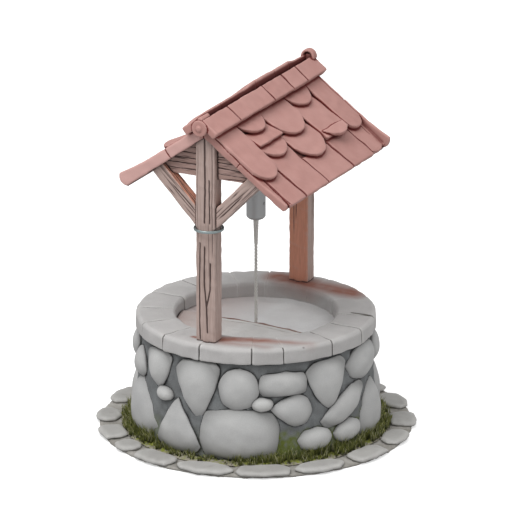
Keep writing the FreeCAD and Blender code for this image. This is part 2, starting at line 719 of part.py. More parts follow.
# Gable boards: level planks between post, brace and roof
brace_rise = math.tan(math.radians(mm("brace_angle")))
brace_in = mm("post_wide") / 2 + seat
brace_up = mm("brace_face") / math.cos(math.radians(mm("brace_angle")))
brace_crest = mm("brace_foot") + brace_up + seat - brace_in * brace_rise


def gable_outline(side):
    """Outline of one half of the gable, clear of post, brace and roof."""
    floor = mm("gable_floor")
    roof_line = under_deck
    slope = math.tan(pitch)
    corner = (floor - brace_crest) / brace_rise
    meeting = (roof_line - brace_crest) / (brace_rise + slope)
    spots = [(brace_in, floor), (corner, floor), (meeting, roof_line - meeting * slope),
             (brace_in, roof_line - brace_in * slope)]
    return [V(side * across, 0, up) for across, up in spots]


def gable_boards(end):
    """Planks on both sides of one post, with an open joint between them."""
    planks = []
    thick = mm("gable_thick")
    middle = end * (mm("frame_reach"))
    rows = int((under_deck - mm("gable_floor")) / mm("gable_pitch")) + 1
    width = 2 * mm("deck_apex")
    for side in (-1, 1):
        half = prism(gable_outline(side), V(0, thick, 0))
        half.translate(V(0, middle - thick / 2, 0))
        for row in range(rows):
            low = mm("gable_floor") + row * mm("gable_pitch")
            band = Part.makeBox(width, width, mm("gable_pitch") - mm("board_gap"),
                                V(-width / 2, -width / 2, low))
            plank = half.common(band)
            if plank.Volume > 1:
                planks.extend(plank.Solids)
    return Part.makeCompound(planks)


for end, name in ((-1, "front"), (1, "back")):
    keep_shape(gable_boards(end), f"gable_boards_{name}")


# Verge: L-shaped terracotta pieces over the ends of the roof boards
VERGE_TAILS = (403, 409)


def verge_tile_lift():
    """Height of the long verge tiles over the boards: on the flange and on the eave tiles."""
    lap = mm("tile_lap")
    thickening = mm("tile_tail") - mm("tile_head")
    tops = [mm("verge_flange")]
    for tail in VERGE_TAILS:
        share = lap / (mm("eave_line") - tail + lap)
        tops.append(seat + mm("tile_head") + thickening * share)
    return max(tops) + seat


def verge_pair(end, side):
    """The upper and the lower verge piece of one edge; a high one also covers the tiles' edge."""
    face = end * (deck_reach + seat)
    outer = end * (deck_reach + seat + mm("verge_face"))
    inner = outer - end * mm("verge_wide")
    flange = mm("verge_flange")
    eave = mm("deck_length") - mm("tile_lap") / 4
    split = mm("verge_joint") / math.cos(pitch)
    top = slope_point(0, flange).z + flange * math.sin(pitch) * math.tan(pitch)
    rest = slope_point(VERGE_TAILS[0] - mm("tile_lap"), flange)
    high = end * side > 0
    end_top = slope_point(eave, mm("verge_swell") if high else seat + mm("tile_tail"))
    tip = V(mm("verge_tip"), 0, mm("verge_tip_height"))
    nose = V((tip.x + end_top.x) / 2 + mm("verge_face"), 0,
             (tip.z + end_top.z) / 2 - mm("verge_nose"))
    crown = V(seat, 0, top - seat * math.tan(pitch))
    foot = V(seat, 0, mm("verge_foot"))
    stops = [end_top, rest, crown, foot, tip]
    if high:
        notch = mm("ridge_slot") / 2
        over = verge_tile_lift() + mm("tile_head")
        shoulder = V(notch, 0, mm("deck_apex") + over / math.cos(pitch) - notch * math.tan(pitch))
        under = V(notch, 0, top - notch * math.tan(pitch))
        rim = slope_point(VERGE_TAILS[1], verge_tile_lift() + mm("tile_tail"))
        stops = [end_top, rim, shoulder, under, crown, foot, tip]
    edges = [Part.LineSegment(*pair).toShape() for pair in zip(stops, stops[1:])]
    edges.append(Part.Arc(tip, nose, end_top).toShape())
    leg = Part.Face(Part.Wire(edges)).extrude(V(0, mm("verge_face"), 0))
    leg.translate(V(0, min(face, outer), 0))
    start = seat + flange * math.tan(pitch)
    lip = slope_bar(1, [(start, seat), (eave, seat), (eave, flange), (start, flange)],
                    min(inner, outer), max(inner, outer))
    whole = leg.fuse(lip).removeSplitter()
    width = 2 * mm("deck_apex")
    gap = mm("board_gap") / 2
    halves = []
    for low, high in ((-width, split - gap), (split + gap, width)):
        corners = [(low, -width), (high, -width), (high, width), (low, width)]
        slab = slope_bar(1, corners, -width, width)
        halves.extend(whole.common(slab).Solids)
    pair = Part.makeCompound(halves)
    if side < 0:
        pair = pair.mirror(V(0, 0, 0), V(1, 0, 0))
    return pair


for end, end_name in ((-1, "front"), (1, "back")):
    for side, side_name in ((-1, "left"), (1, "right")):
        keep_shape(verge_pair(end, side), f"verge_{end_name}_{side_name}")

# Tiles: columns along the ridge, each with the lower ends of its tiles down the slope
verge_outer = deck_reach + seat + mm("verge_face")
verge_inner = verge_outer - mm("verge_wide")
COLUMN_EDGES = (-356, -112, 168, 398)
FIELD_TAILS = ((170, 239, 328), (276, 428), (170, 376))
SQUARE_TAILS = (239, 376)
# A short tile on top of the third column: its head and its tail, down the slope
SHORT_TILE = (332, 404)
ROUND_SHARE = 0.36
EAVE_ROUND_SHARE = 0.18
TAIL_STEPS = 8


def tail_points(length, width, drop):
    """Points of a tile's rounded lower end, on an arc that is drop deep."""
    if not drop:
        return [V(length, 0, 0), V(length, width, 0)]
    radius = (width ** 2 / 4 + drop ** 2) / (2 * drop)
    half = math.asin(width / 2 / radius)
    points = []
    for step in range(TAIL_STEPS + 1):
        turn = half * (2 * step / TAIL_STEPS - 1)
        points.append(V(length - radius + radius * math.cos(turn),
                        width / 2 + radius * math.sin(turn), 0))
    return points


def tile(low_y, high_y, head, tail, tilt, lift, round_share=0):
    """A tapered tile, laid on the right slope; a share of its width rounds its lower end."""
    length = tail - head
    width = high_y - low_y
    outline = [V(0, width, 0), V(0, 0, 0)] + tail_points(length, width, width * round_share)
    wedge = prism([V(0, 0, 0), V(length, 0, 0), V(length, 0, mm("tile_tail")),
                   V(0, 0, mm("tile_head"))], V(0, width, 0))
    solid = prism(outline, V(0, 0, mm("tile_tail"))).common(wedge)
    solid.rotate(V(0, 0, 0), V(0, 1, 0), mm("roof_pitch") - math.degrees(tilt))
    solid.translate(slope_point(head, lift, 1, low_y))
    return solid.Solids[0]


def column_of_tiles(low_y, high_y, tails):
    """Eave tile first, then the tiles above it, each resting on the one below."""
    laid = []
    head, lap = mm("tile_head"), mm("tile_lap")
    thickening = mm("tile_tail") - head
    stops = list(tails) + [mm("eave_line")]
    under_top = 0.0
    for index in reversed(range(len(stops))):
        tail = stops[index]
        start = mm("first_head") if index == 0 else stops[index - 1] - lap
        length = tail - start
        if index == len(stops) - 1:
            rise = 0.0
        else:
            rise = max((head + seat) / (length - lap), (under_top + seat) / length)
        under_top = lap * rise + head + thickening * lap / length
        square = index == len(stops) - 1 or tail in SQUARE_TAILS
        share = 0 if square else ROUND_SHARE
        laid.append(tile(low_y, high_y, start, tail, math.asin(rise), seat, share))
        if tail > SHORT_TILE[0] and tail in SQUARE_TAILS:
            climb = rise + thickening / length
            over = 2 * seat + head + (SHORT_TILE[0] - start) * climb
            laid.append(tile(low_y, high_y, *SHORT_TILE, math.asin(climb), over, ROUND_SHARE))
    return laid[0], laid[1:]


def slope_of_tiles():
    """The eave row and the upper tiles of one slope."""
    gap = mm("tile_gap") / 2
    edges = (-verge_inner,) + COLUMN_EDGES + (verge_inner,)
    eaves = []
    field = []
    lift = verge_tile_lift()
    lap = mm("tile_lap")
    for column in range(5):
        low_y = edges[column] + gap
        high_y = edges[column + 1] - gap
        if column in (0, 4):
            tail = VERGE_TAILS[0] if column == 0 else VERGE_TAILS[1]
            share = 0 if column == 0 else EAVE_ROUND_SHARE
            eaves.append(tile(low_y, high_y, tail - lap, mm("eave_line"), 0, seat, share))
            outer_low = -verge_outer if column == 0 else low_y
            outer_high = high_y if column == 0 else deck_reach
            start = mm("first_head")
            field.append(tile(outer_low, outer_high, start, tail, 0, lift, ROUND_SHARE))
        else:
            eave, upper = column_of_tiles(low_y, high_y, FIELD_TAILS[column - 1])
            eaves.append(eave)
            field.extend(upper)
    return Part.makeCompound(eaves), Part.makeCompound(field)


right_eaves, right_field = slope_of_tiles()
turn_about = (V(0, 0, 0), V(0, 0, 1), 180)
for name, eaves, field in (("right", right_eaves, right_field),
                           ("left", right_eaves.copy(), right_field.copy())):
    if name == "left":
        eaves.rotate(*turn_about)
        field.rotate(*turn_about)
    keep_shape(eaves, f"eave_tiles_{name}")
    keep_shape(field, f"field_tiles_{name}")

# Ridge: a row of heavy tiles on each side of an open slot
first_length = VERGE_TAILS[0] - mm("first_head")
ridge_edge = mm("ridge_slot") / 2 / math.cos(pitch) + mm("ridge_wide")
ridge_edge -= (mm("verge_flange") + mm("tile_head") + mm("ridge_thick")) * math.tan(pitch)
taper_there = (mm("tile_tail") - mm("tile_head")) * (ridge_edge - mm("first_head")) / first_length
ridge_seat = verge_tile_lift() + mm("tile_head") + taper_there + seat + mm("ridge_bed")
ridge_crown = ridge_seat + mm("ridge_thick")
crown_height = mm("deck_apex") + ridge_crown / math.cos(pitch)
ridge_reach = verge_outer + mm("ridge_overhang")
RIDGE_JOINTS = (-345, 30, 240, 393)


def ridge_section(side):
    """Section of a ridge tile: plumb on the slot, square at its lower edge."""
    slot = mm("ridge_slot") / 2
    wide = slot + mm("ridge_wide") * math.cos(pitch)
    slope = math.tan(pitch)
    seat_height = mm("deck_apex") + ridge_seat / math.cos(pitch)
    inset = mm("ridge_thick") * math.sin(pitch)
    return [V(side * slot, 0, seat_height - slot * slope),
            V(side * (wide - inset), 0, seat_height - (wide - inset) * slope),
            V(side * wide, 0, crown_height - wide * slope),
            V(side * slot, 0, crown_height - slot * slope)]


def ridge_row(side):
    """The tiles of one side of the ridge, end to end."""
    tiles = []
    edges = (-ridge_reach,) + RIDGE_JOINTS + (ridge_reach,)
    for low, high in zip(edges, edges[1:]):
        points = [point + V(0, low + seat / 2, 0) for point in ridge_section(side)]
        tiles.append(prism(points, V(0, high - low - seat, 0)))
    return Part.makeCompound(tiles)


for side, name in ((-1, "left"), (1, "right")):
    keep_shape(ridge_row(side), f"ridge_tiles_{name}")

# Front infill of the slot
infill_half = mm("ridge_slot") / 2 - seat
infill_low = mm("deck_apex") + (mm("verge_flange") + seat) / math.cos(pitch) + seat
infill_drop = infill_half * math.tan(pitch)
infill_points = [
    V(-infill_half, -ridge_reach, infill_low - infill_drop),
    V(0, -ridge_reach, infill_low),
    V(infill_half, -ridge_reach, infill_low - infill_drop),
    V(infill_half, -ridge_reach, crown_height - infill_drop),
    V(0, -ridge_reach, crown_height),
    V(-infill_half, -ridge_reach, crown_height - infill_drop),
]
infill = prism(infill_points, V(0, mm("cap_length"), 0))


# Arched cap over the back end of the slot
def arched_cap():
    """Half a pipe along the ridge, cut to sit on both rows of ridge tiles."""
    length = mm("arch_length")
    base = V(0, ridge_reach - length, crown_height - mm("arch_lift"))
    along = V(0, 1, 0)
    outer = Part.makeCylinder(mm("arch_outer"), length, base, along)
    inner = Part.makeCylinder(mm("arch_outer") - mm("arch_wall"), length - mm("arch_web"),
                              base, along)
    shell = outer.cut(inner)
    reach = mm("arch_outer") * 2
    low = crown_height + seat / math.cos(pitch)
    fall = reach * math.tan(pitch)
    keep_out = [V(0, base.y - 1, low), V(reach, base.y - 1, low - fall),
                V(reach, base.y - 1, low - reach * 3), V(-reach, base.y - 1, low - reach * 3),
                V(-reach, base.y - 1, low - fall)]
    return shell.cut(prism(keep_out, V(0, length + 2, 0))).Solids[0]


def rosette():
    """A disc with a knob, against the front ends of the ridge tiles."""
    height = crown_height - mm("rosette_drop")
    forward = V(0, -1, 0)
    back = V(0, -ridge_reach - seat, height)
    disc = Part.makeCylinder(mm("rosette_radius"), mm("rosette_thick"), back, forward)
    knob = Part.makeCylinder(mm("knob_radius"), mm("rosette_thick") + mm("knob_proud"),
                             back, forward)
    return disc.fuse(knob)


keep_shape(Part.makeCompound([infill, arched_cap(), rosette()]), "ridge_fittings")

# Hanger bolt: from the ridge beam down into the swivel head
BORE = "(dims.splice_radius + dims.seat_gap)"
SHOULDER = "(dims.head_top - dims.head_plate)"
BOLT_FOOT = f"({SHOULDER} - dims.seat_gap - dims.bolt_head_thick)"
shank = bar("bolt_shank", "dims.bolt_radius", f"{BEAM_BASE} + dims.bolt_bite - {BOLT_FOOT}",
            ("0", "0", BOLT_FOOT))
hexagon = doc.addObject("Part::Prism", "bolt_hexagon")
hexagon.Polygon = 6
hexagon.setExpression("Circumradius", "dims.bolt_head")
hexagon.setExpression("Height", "dims.bolt_head_thick")
hexagon.setExpression("Placement.Base.z", BOLT_FOOT)
bolt = doc.addObject("Part::Fuse", "hanger_bolt")
bolt.Base = shank
bolt.Tool = hexagon
keep(bolt, "hanger_bolt")

# Swivel head: turned steel that runs on the bolt, bored from below for the rope
head_corners = [
    (BORE, HEAD_BASE),
    ("dims.head_radius - dims.head_bevel", HEAD_BASE),
    ("dims.head_radius", f"{HEAD_BASE} + dims.head_bevel"),
    ("dims.head_radius", "dims.head_top"),
    ("dims.bolt_radius + dims.bolt_play", "dims.head_top"),
    ("dims.bolt_radius + dims.bolt_play", SHOULDER),
    (BORE, SHOULDER),
]
pin_hole = bar("pin_hole", "dims.pin_radius + dims.bolt_play", "4 * dims.head_radius",
               ("-2 * dims.head_radius", "0", "dims.pin_height"), V(1, 0, 0))
head = turned_body("swivel_head_body", head_corners)
keep(cut_from("swivel_head", head, [pin_hole]), "swivel_head")
pin = bar("swivel_pin", "dims.pin_radius", "2 * dims.head_radius + 2 * dims.pin_proud",
          ("-dims.head_radius - dims.pin_proud", "0", "dims.pin_height"), V(1, 0, 0))
keep(pin, "swivel_pin")

# Rope: a thick end pinned in the head, a taper, the rope and its stopper knot
KNOT_TOP = f"({FLOOR_BASE} - dims.seat_gap)"
rope_corners = [
    ("0", f"{KNOT_TOP} - dims.knot_high"),
    ("dims.knot_radius", f"{KNOT_TOP} - dims.knot_high"),
    ("dims.knot_radius", KNOT_TOP),
    ("dims.rope_radius", KNOT_TOP),
    ("dims.rope_radius", "dims.splice_end"),
    ("dims.splice_radius", HEAD_BASE),
    ("dims.splice_radius", "dims.pin_height + dims.splice_rise"),
    ("0", "dims.pin_height + dims.splice_rise"),
]
rope = turned_body("rope_body", rope_corners)
keep(cut_from("rope", rope, [pin_hole]), "rope")

doc.recompute()
for obj in doc.Objects:
    assert "Invalid" not in obj.State and "Error" not in obj.State, obj.Label
for obj in pieces:
    assert not obj.Shape.isNull() and obj.Shape.isValid(), obj.Label
    assert obj.Shape.Solids, obj.Label
assert len({obj.Label for obj in pieces}) == len(pieces)

os.makedirs("parts", exist_ok=True)
for obj in pieces:
    obj.Shape.exportStep(f"parts/{obj.Label}.step")
print(len(pieces), "pieces,", sum(len(obj.Shape.Solids) for obj in pieces), "solids")
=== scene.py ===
# %% [markdown]
# A stone well with a tiled roof, dressed for a studio picture.
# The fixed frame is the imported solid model, in metres. Nearly every piece made here replaces one or more of
# its nodes and stays where they are. The nodes that are kept only get a finish.

# %% Load the frame
import math

import bmesh
import bpy
import numpy as np
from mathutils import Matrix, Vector
from mathutils.bvhtree import BVHTree


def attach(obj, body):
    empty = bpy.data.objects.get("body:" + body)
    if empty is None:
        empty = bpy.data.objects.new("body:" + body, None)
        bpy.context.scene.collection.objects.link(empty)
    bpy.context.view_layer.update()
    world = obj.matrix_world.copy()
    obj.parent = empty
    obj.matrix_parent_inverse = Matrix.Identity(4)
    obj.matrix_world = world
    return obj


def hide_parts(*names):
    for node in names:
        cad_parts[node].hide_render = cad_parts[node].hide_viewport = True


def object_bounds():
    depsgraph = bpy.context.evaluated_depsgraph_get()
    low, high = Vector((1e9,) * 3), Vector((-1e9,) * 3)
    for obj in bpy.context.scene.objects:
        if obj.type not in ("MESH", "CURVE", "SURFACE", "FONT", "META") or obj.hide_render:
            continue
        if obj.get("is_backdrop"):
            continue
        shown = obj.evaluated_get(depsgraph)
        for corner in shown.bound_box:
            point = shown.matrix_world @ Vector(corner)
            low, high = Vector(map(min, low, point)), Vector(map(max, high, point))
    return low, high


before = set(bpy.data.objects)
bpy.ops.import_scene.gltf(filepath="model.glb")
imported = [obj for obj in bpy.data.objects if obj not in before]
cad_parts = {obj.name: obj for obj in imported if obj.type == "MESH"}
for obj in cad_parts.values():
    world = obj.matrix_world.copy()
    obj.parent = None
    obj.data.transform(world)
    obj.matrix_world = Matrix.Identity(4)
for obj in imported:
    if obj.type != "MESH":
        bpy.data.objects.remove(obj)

cad_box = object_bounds()
print("nodes in the frame:", len(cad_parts))

# %% [markdown]
# The picture was taken from far away: lines that are parallel on the object stay parallel in it. A camera
# without perspective would do that as well. A very long lens 30 m away is used instead, because it leaves
# the trace of perspective that a real picture has. It looks down by 19 degrees, from 27 degrees to the right
# of the front post, and takes in 2.56 m at the well, which is 5 mm to a pixel.

# %% Camera
AWAY = 30
TURN, DOWN = math.radians(27), math.radians(19)
SEEN = 2.56
SENSOR = 36
AIM = Vector((0, 0, 0.888))
back = Vector((math.sin(TURN) * math.cos(DOWN), -math.cos(TURN) * math.cos(DOWN), math.sin(DOWN)))
camera = bpy.data.objects.new("camera", bpy.data.cameras.new("camera"))
bpy.context.scene.collection.objects.link(camera)
camera.location = AIM + AWAY * back
camera.rotation_euler = back.to_track_quat("Z", "Y").to_euler()
camera.data.sensor_width = SENSOR
camera.data.lens = SENSOR * AWAY / SEEN
camera.data.clip_end = 200
bpy.context.scene.camera = camera
bpy.context.scene.view_settings.view_transform = "Standard"
print("lens", round(camera.data.lens), "mm at", AWAY, "m")

# %% [markdown]
# A material is a small graph of nodes. It could be drawn by hand in the shader editor. In code one helper
# adds any node, sets it and links it, and another lays colours over each other, so that each finish below
# reads as a list of what lies on what. Colours are written as a designer writes them, in sRGB hex.

# %% Colours, nodes and materials
def linear(colour):
    """An sRGB hex colour as linear red, green, blue and alpha."""
    parts = [int(colour[i : i + 2], 16) / 255 for i in (1, 3, 5)]
    return [p / 12.92 if p <= 0.04045 else ((p + 0.055) / 1.055) ** 2.4 for p in parts] + [1]


def feed(tree, node, inputs):
    """A node's inputs, each set to a value or linked to another node's output."""
    for name, value in inputs.items():
        if isinstance(value, bpy.types.NodeSocket):
            tree.links.new(value, node.inputs[name])
        else:
            node.inputs[name].default_value = value


def add(tree, kind, inputs=None, **settings):
    """One node of any kind, with its settings and its inputs."""
    made = tree.nodes.new(kind)
    for name, value in settings.items():
        setattr(made, name, value)
    feed(tree, made, inputs or {})
    return made


def material(name):
    """A new material with only its shader: the material, its tree and the shader."""
    made = bpy.data.materials.new(name)
    made.use_nodes = True
    tree = made.node_tree
    return made, tree, tree.nodes["Principled BSDF"]


def value_of(tree, label, low, high, most=1.0):
    """A value kept with the points, spread from its low to its high end and scaled to at most that much."""
    kept = add(tree, "ShaderNodeAttribute", attribute_name=label).outputs["Fac"]
    return add(tree, "ShaderNodeMapRange", {0: kept, 1: low, 2: high, 4: most}).outputs[0]


def layered(tree, base, *layers):
    """A colour with others laid over it. A layer is a share and a colour, and the share is a link, or what
    value_of takes: a label, its low and its high end, and at most how much it covers."""
    base = linear(base)
    for share, colour in layers:
        share = value_of(tree, *share) if isinstance(share, tuple) else share
        colour = linear(colour) if isinstance(colour, str) else colour
        base = add(tree, "ShaderNodeMix", {0: share, 6: base, 7: colour}, data_type="RGBA").outputs[2]
    return base


print("white is", linear("#FFFFFF"))

# %% [markdown]
# Studio light: a white tent that is brighter overhead than at the sides, a large soft box high in front,
# which shapes the forms, and a weak one on the right. A picture of a real sky could light the well too, but
# it would bring colours of its own. The floor is pale and catches the shadow. What the camera sees of it is
# lifted to white, and what throws light back at the well is a duller grey.

# %% Light and floor
world = bpy.data.worlds.new("studio")
bpy.context.scene.world = world
world.use_nodes = True
tree = world.node_tree
LOW_FILL, HIGH_FILL = 0.36, 1.18
path = add(tree, "ShaderNodeLightPath")
aim = add(tree, "ShaderNodeSeparateXYZ", {0: add(tree, "ShaderNodeTexCoord").outputs["Generated"]})
tent = add(tree, "ShaderNodeMapRange", {0: aim.outputs[2], 1: 0.0, 2: 0.9, 3: LOW_FILL, 4: HIGH_FILL})
strength = add(tree, "ShaderNodeMix", {0: path.outputs["Is Camera Ray"], 2: tent.outputs[0], 3: 1.0})
feed(tree, tree.nodes["Background"], {"Color": linear("#FFFFFF"), "Strength": strength.outputs[0]})


def soft_box(name, place, wide, watts):
    """A square lamp that looks at the middle of the well."""
    lamp = bpy.data.objects.new(name, bpy.data.lights.new(name, "AREA"))
    bpy.context.scene.collection.objects.link(lamp)
    lamp.location = place
    lamp.rotation_euler = (Vector(place) - AIM).to_track_quat("Z", "Y").to_euler()
    lamp.data.size = wide
    lamp.data.energy = watts


soft_box("key", place=(-0.9, -3.0, 5.8), wide=2.6, watts=182)
soft_box("side", place=(4.0, -1.6, 3.0), wide=2.6, watts=18)

LIFT = 0.45
floor_finish, tree, shader = material("studio_floor")
seen = add(tree, "ShaderNodeLightPath").outputs["Is Camera Ray"]
lift = add(tree, "ShaderNodeMath", {0: seen, 1: LIFT}, operation="MULTIPLY").outputs[0]
feed(tree, shader, {"Base Color": layered(tree, "#C0C0C0", (seen, "#E6E6E6")), "Roughness": 0.9,
                    "Emission Color": linear("#FFFFFF"), "Emission Strength": lift})
HALF, DROP = 40, 0.0005  # half its width, and how far it lies below the solid model
corners = [(-HALF, -HALF, 0), (HALF, -HALF, 0), (HALF, HALF, 0), (-HALF, HALF, 0)]
floor_mesh = bpy.data.meshes.new("studio_floor")
floor_mesh.from_pydata(corners, [], [(0, 1, 2, 3)])
studio_floor = bpy.data.objects.new("studio_floor", floor_mesh)
bpy.context.scene.collection.objects.link(studio_floor)
studio_floor.location.z = -DROP
floor_mesh.materials.append(floor_finish)
studio_floor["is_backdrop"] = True
print("floor", 2 * HALF, "m wide")

# %% [markdown]
# The rope is three strands laid round each other. A plain tube with a bump would do from far away, but real
# strands give it its edge and its shadows. It hangs taut from a pin in the swivel head, goes down through
# the floor slab and ends in a stopper knot underneath. Its line is a smooth spline, and the strands follow
# points read from that spline, each turning once in about three rope widths, as a laid rope does.

# %% Line of the rope
ROPE_POINTS = [(0, 0, 1.192), (0, 0, 1.089), (0, 0, 0.950), (0, 0, 0.700), (0, 0, 0.4777), (0, 0, 0.440)]
ROPE_WIDE = 0.017
route = bpy.data.curves.new("rope_line", "CURVE")
route.dimensions = "3D"
route.resolution_u = 24
spline = route.splines.new("NURBS")
spline.points.add(len(ROPE_POINTS) - 1)
for point, place in zip(spline.points, ROPE_POINTS):
    point.co = (*place, 1)
spline.order_u = 3
spline.use_endpoint_u = True
line_object = bpy.data.objects.new("rope_line", route)
line_mesh = bpy.data.meshes.new_from_object(line_object)
rope_line = np.array([v.co for v in line_mesh.vertices])
bpy.data.objects.remove(line_object)
rope_length = np.linalg.norm(np.diff(rope_line, axis=0), axis=1).sum()
print("rope", round(rope_length, 3), "m along", len(rope_line), "points")

# %% [markdown]
# New pieces are built from lists of points and faces. That takes more lines than a ready-made tube or ball,
# but numbers can be kept with each point, and the finishes read them. Each piece says which nodes it stands
# for and which body it moves with.

# %% Mesh helpers
def piece(name, points, faces, finish, body, slot, replaces=(), **values):
    """A new piece from points and faces, with its finish, its body and values kept with each point."""
    mesh = bpy.data.meshes.new(name)
    mesh.from_pydata(points.tolist(), [], faces)
    mesh.validate()
    mesh.shade_smooth()
    for label, given in values.items():
        kind, field = ("FLOAT", "value") if given.ndim == 1 else ("FLOAT_VECTOR", "vector")
        kept = mesh.attributes.new(label, kind, "POINT")
        kept.data.foreach_set(field, given.ravel())
    made = bpy.data.objects.new(name, mesh)
    bpy.context.scene.collection.objects.link(made)
    mesh.materials.append(finish)
    if replaces:
        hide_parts(*replaces)
    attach(made, body)
    print(name, len(mesh.vertices), "points", len(mesh.polygons), "faces")
    return made


def tube(line, radii, sides=10):
    """A closed round tube along a line of points, with a radius at each of them."""
    line = np.asarray(line, float)
    ahead = np.gradient(line, axis=0)
    ahead /= np.linalg.norm(ahead, axis=1)[:, None]
    side = np.cross(ahead, [0.31, 0.95, 0.02])
    side /= np.linalg.norm(side, axis=1)[:, None]
    up = np.cross(ahead, side)
    turn = np.linspace(0, 2 * np.pi, sides, endpoint=False)
    ring = side[:, None] * np.cos(turn)[None, :, None] + up[:, None] * np.sin(turn)[None, :, None]
    points = (line[:, None] + ring * np.broadcast_to(radii, len(line))[:, None, None]).reshape(-1, 3)
    faces = []
    for i in range(len(line) - 1):
        for j in range(sides):
            k = (j + 1) % sides
            faces.append((i * sides + j, i * sides + k, (i + 1) * sides + k, (i + 1) * sides + j))
    faces.append(tuple(reversed(range(sides))))
    faces.append(tuple(range((len(line) - 1) * sides, len(line) * sides)))
    return points, faces


def joined(parts):
    """Several meshes as one: points, faces, and for each point the number of its part."""
    points, faces, owner, at = [], [], [], 0
    for number, (some, their) in enumerate(parts):
        points.append(some)
        faces += [tuple(i + at for i in face) for face in their]
        owner += [number] * len(some)
        at += len(some)
    return np.concatenate(points), faces, np.array(owner)


def along(line, step):
    """The line again with points about a step apart, and how far along it each of them is."""
    gone = np.concatenate([[0], np.cumsum(np.linalg.norm(np.diff(line, axis=0), axis=1))])
    at = np.linspace(0, gone[-1], max(2, math.ceil(gone[-1] / step)))
    return np.stack([np.interp(at, gone, line[:, k]) for k in range(3)], axis=1), at


STRAND_STEP = 0.004


def laid(line, radius, lay, strands=3):
    """Strands laid round a line: radius is the rope's own, a number or one for each point of the line."""
    spots, at = along(line, STRAND_STEP)
    wide = np.interp(at, np.linspace(0, at[-1], len(line)), np.broadcast_to(radius, len(line)))
    parts = []
    for strand in range(strands):
        turn = 2 * np.pi * (at / lay + strand / strands)
        off = 0.52 * wide[:, None] * np.stack([np.cos(turn), np.sin(turn), 0 * turn], axis=1)
        parts.append(tube(spots + off, 0.48 * wide))
    return joined(parts)


print("mesh helpers ready")

# %% [markdown]
# Rope yarn is dull: no gloss, and a soft bump of twisted fibres. They are about 1 mm thick on a real rope
# and are drawn 3 mm wide, because finer ones wouldn't show. In the picture the rope is nearly as pale as the
# stone, so this is a bleached cotton rope. A splice thickens its upper end, and a trefoil knot stops it.

# %% Rope
rope_finish, tree, shader = material("bleached_cotton_rope")
where = add(tree, "ShaderNodeTexCoord").outputs["Object"]
fibre = add(tree, "ShaderNodeTexNoise", {"Vector": where, "Scale": 1 / 0.003, "Detail": 3.0}).outputs[0]
bump = add(tree, "ShaderNodeBump", {"Height": fibre, "Strength": 0.4, "Distance": 0.001}).outputs[0]
feed(tree, shader, {"Base Color": layered(tree, "#AEABA6", (fibre, "#DCDAD6")), "Normal": bump,
                    "Roughness": 0.92, "Sheen Weight": 0.2})

points, faces, _ = laid(rope_line, ROPE_WIDE / 2, 3.2 * ROPE_WIDE)
rope = piece("well_rope", points, faces, rope_finish, "swivel", "rope", ["rope"])

SPLICE_TOP, SPLICE_FOOT, SPLICE_LAY = 1.188, 0.952, 0.075
splice_line = np.array([(0, 0, z) for z in np.linspace(SPLICE_TOP, SPLICE_FOOT, 60)])
swell = np.interp(splice_line[:, 2], [0.95, 1.089], [0.0095, 0.0148])
points, faces, _ = laid(splice_line, swell, SPLICE_LAY, strands=5)
splice = piece("rope_splice", points, faces, rope_finish, "swivel", "rope")

KNOT_MIDDLE, KNOT_HALF, KNOT_REACH, KNOT_ROPE = 0.4555, 0.013, 0.0046, 0.0078
turn = np.linspace(0, 2 * np.pi, 90)
knot_line = np.stack([KNOT_REACH * (np.sin(turn) + 2 * np.sin(2 * turn)),
                      KNOT_REACH * (np.cos(turn) - 2 * np.cos(2 * turn)),
                      KNOT_MIDDLE - KNOT_HALF * np.sin(3 * turn)], axis=1)
points, faces = tube(knot_line, KNOT_ROPE)
knot = piece("rope_knot", points, faces, rope_finish, "swivel", "rope")

# %% [markdown]
# Hewn stone, fired clay and old timber share one thing: no edge is sharp and no face is flat. The solid
# model has sharp edges. A bevel would round them, but it would leave the faces flat. So most solids are
# rebuilt as an even net of small squares, smoothed a few times so that the edges round off, and pushed in
# and out a little by slow random waves. Where the net bulges, the finish turns it pale, for wear and as a
# painted highlight, and where it folds in, it darkens it as painted shade. How far it bulges is kept with
# each point.

# %% Weathering helpers
WAVES = 18


def waves(points, size, seed):
    """Slow random waves of about that size, as one number for each point, mostly from -1 to 1."""
    dice = np.random.default_rng(seed)
    aim = dice.normal(size=(WAVES, 3))
    aim /= np.linalg.norm(aim, axis=1)[:, None] * size * dice.uniform(0.6, 1.6, WAVES)[:, None]
    phase = dice.uniform(0, 2 * np.pi, WAVES)
    return np.sin(2 * np.pi * points @ aim.T + phase).sum(axis=1) / math.sqrt(WAVES / 2) / 1.6


def solids(node):
    """The separate solids of a frame node, each as points and faces."""
    form = bmesh.new()
    form.from_mesh(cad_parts[node].data)
    bmesh.ops.remove_doubles(form, verts=form.verts, dist=1e-5)
    left, found = set(form.verts), []
    while left:
        todo = [left.pop()]
        group = list(todo)
        while todo:
            for edge in todo.pop().link_edges:
                for vert in edge.verts:
                    if vert in left:
                        left.remove(vert)
                        todo.append(vert)
                        group.append(vert)
        number = {vert: i for i, vert in enumerate(group)}
        faces = [[number[v] for v in f.verts] for f in form.faces if f.verts[0] in number]
        found.append((np.array([v.co for v in group]), faces))
    form.free()
    found.sort(key=lambda solid: tuple(np.round(solid[0].mean(axis=0), 3)))
    return found


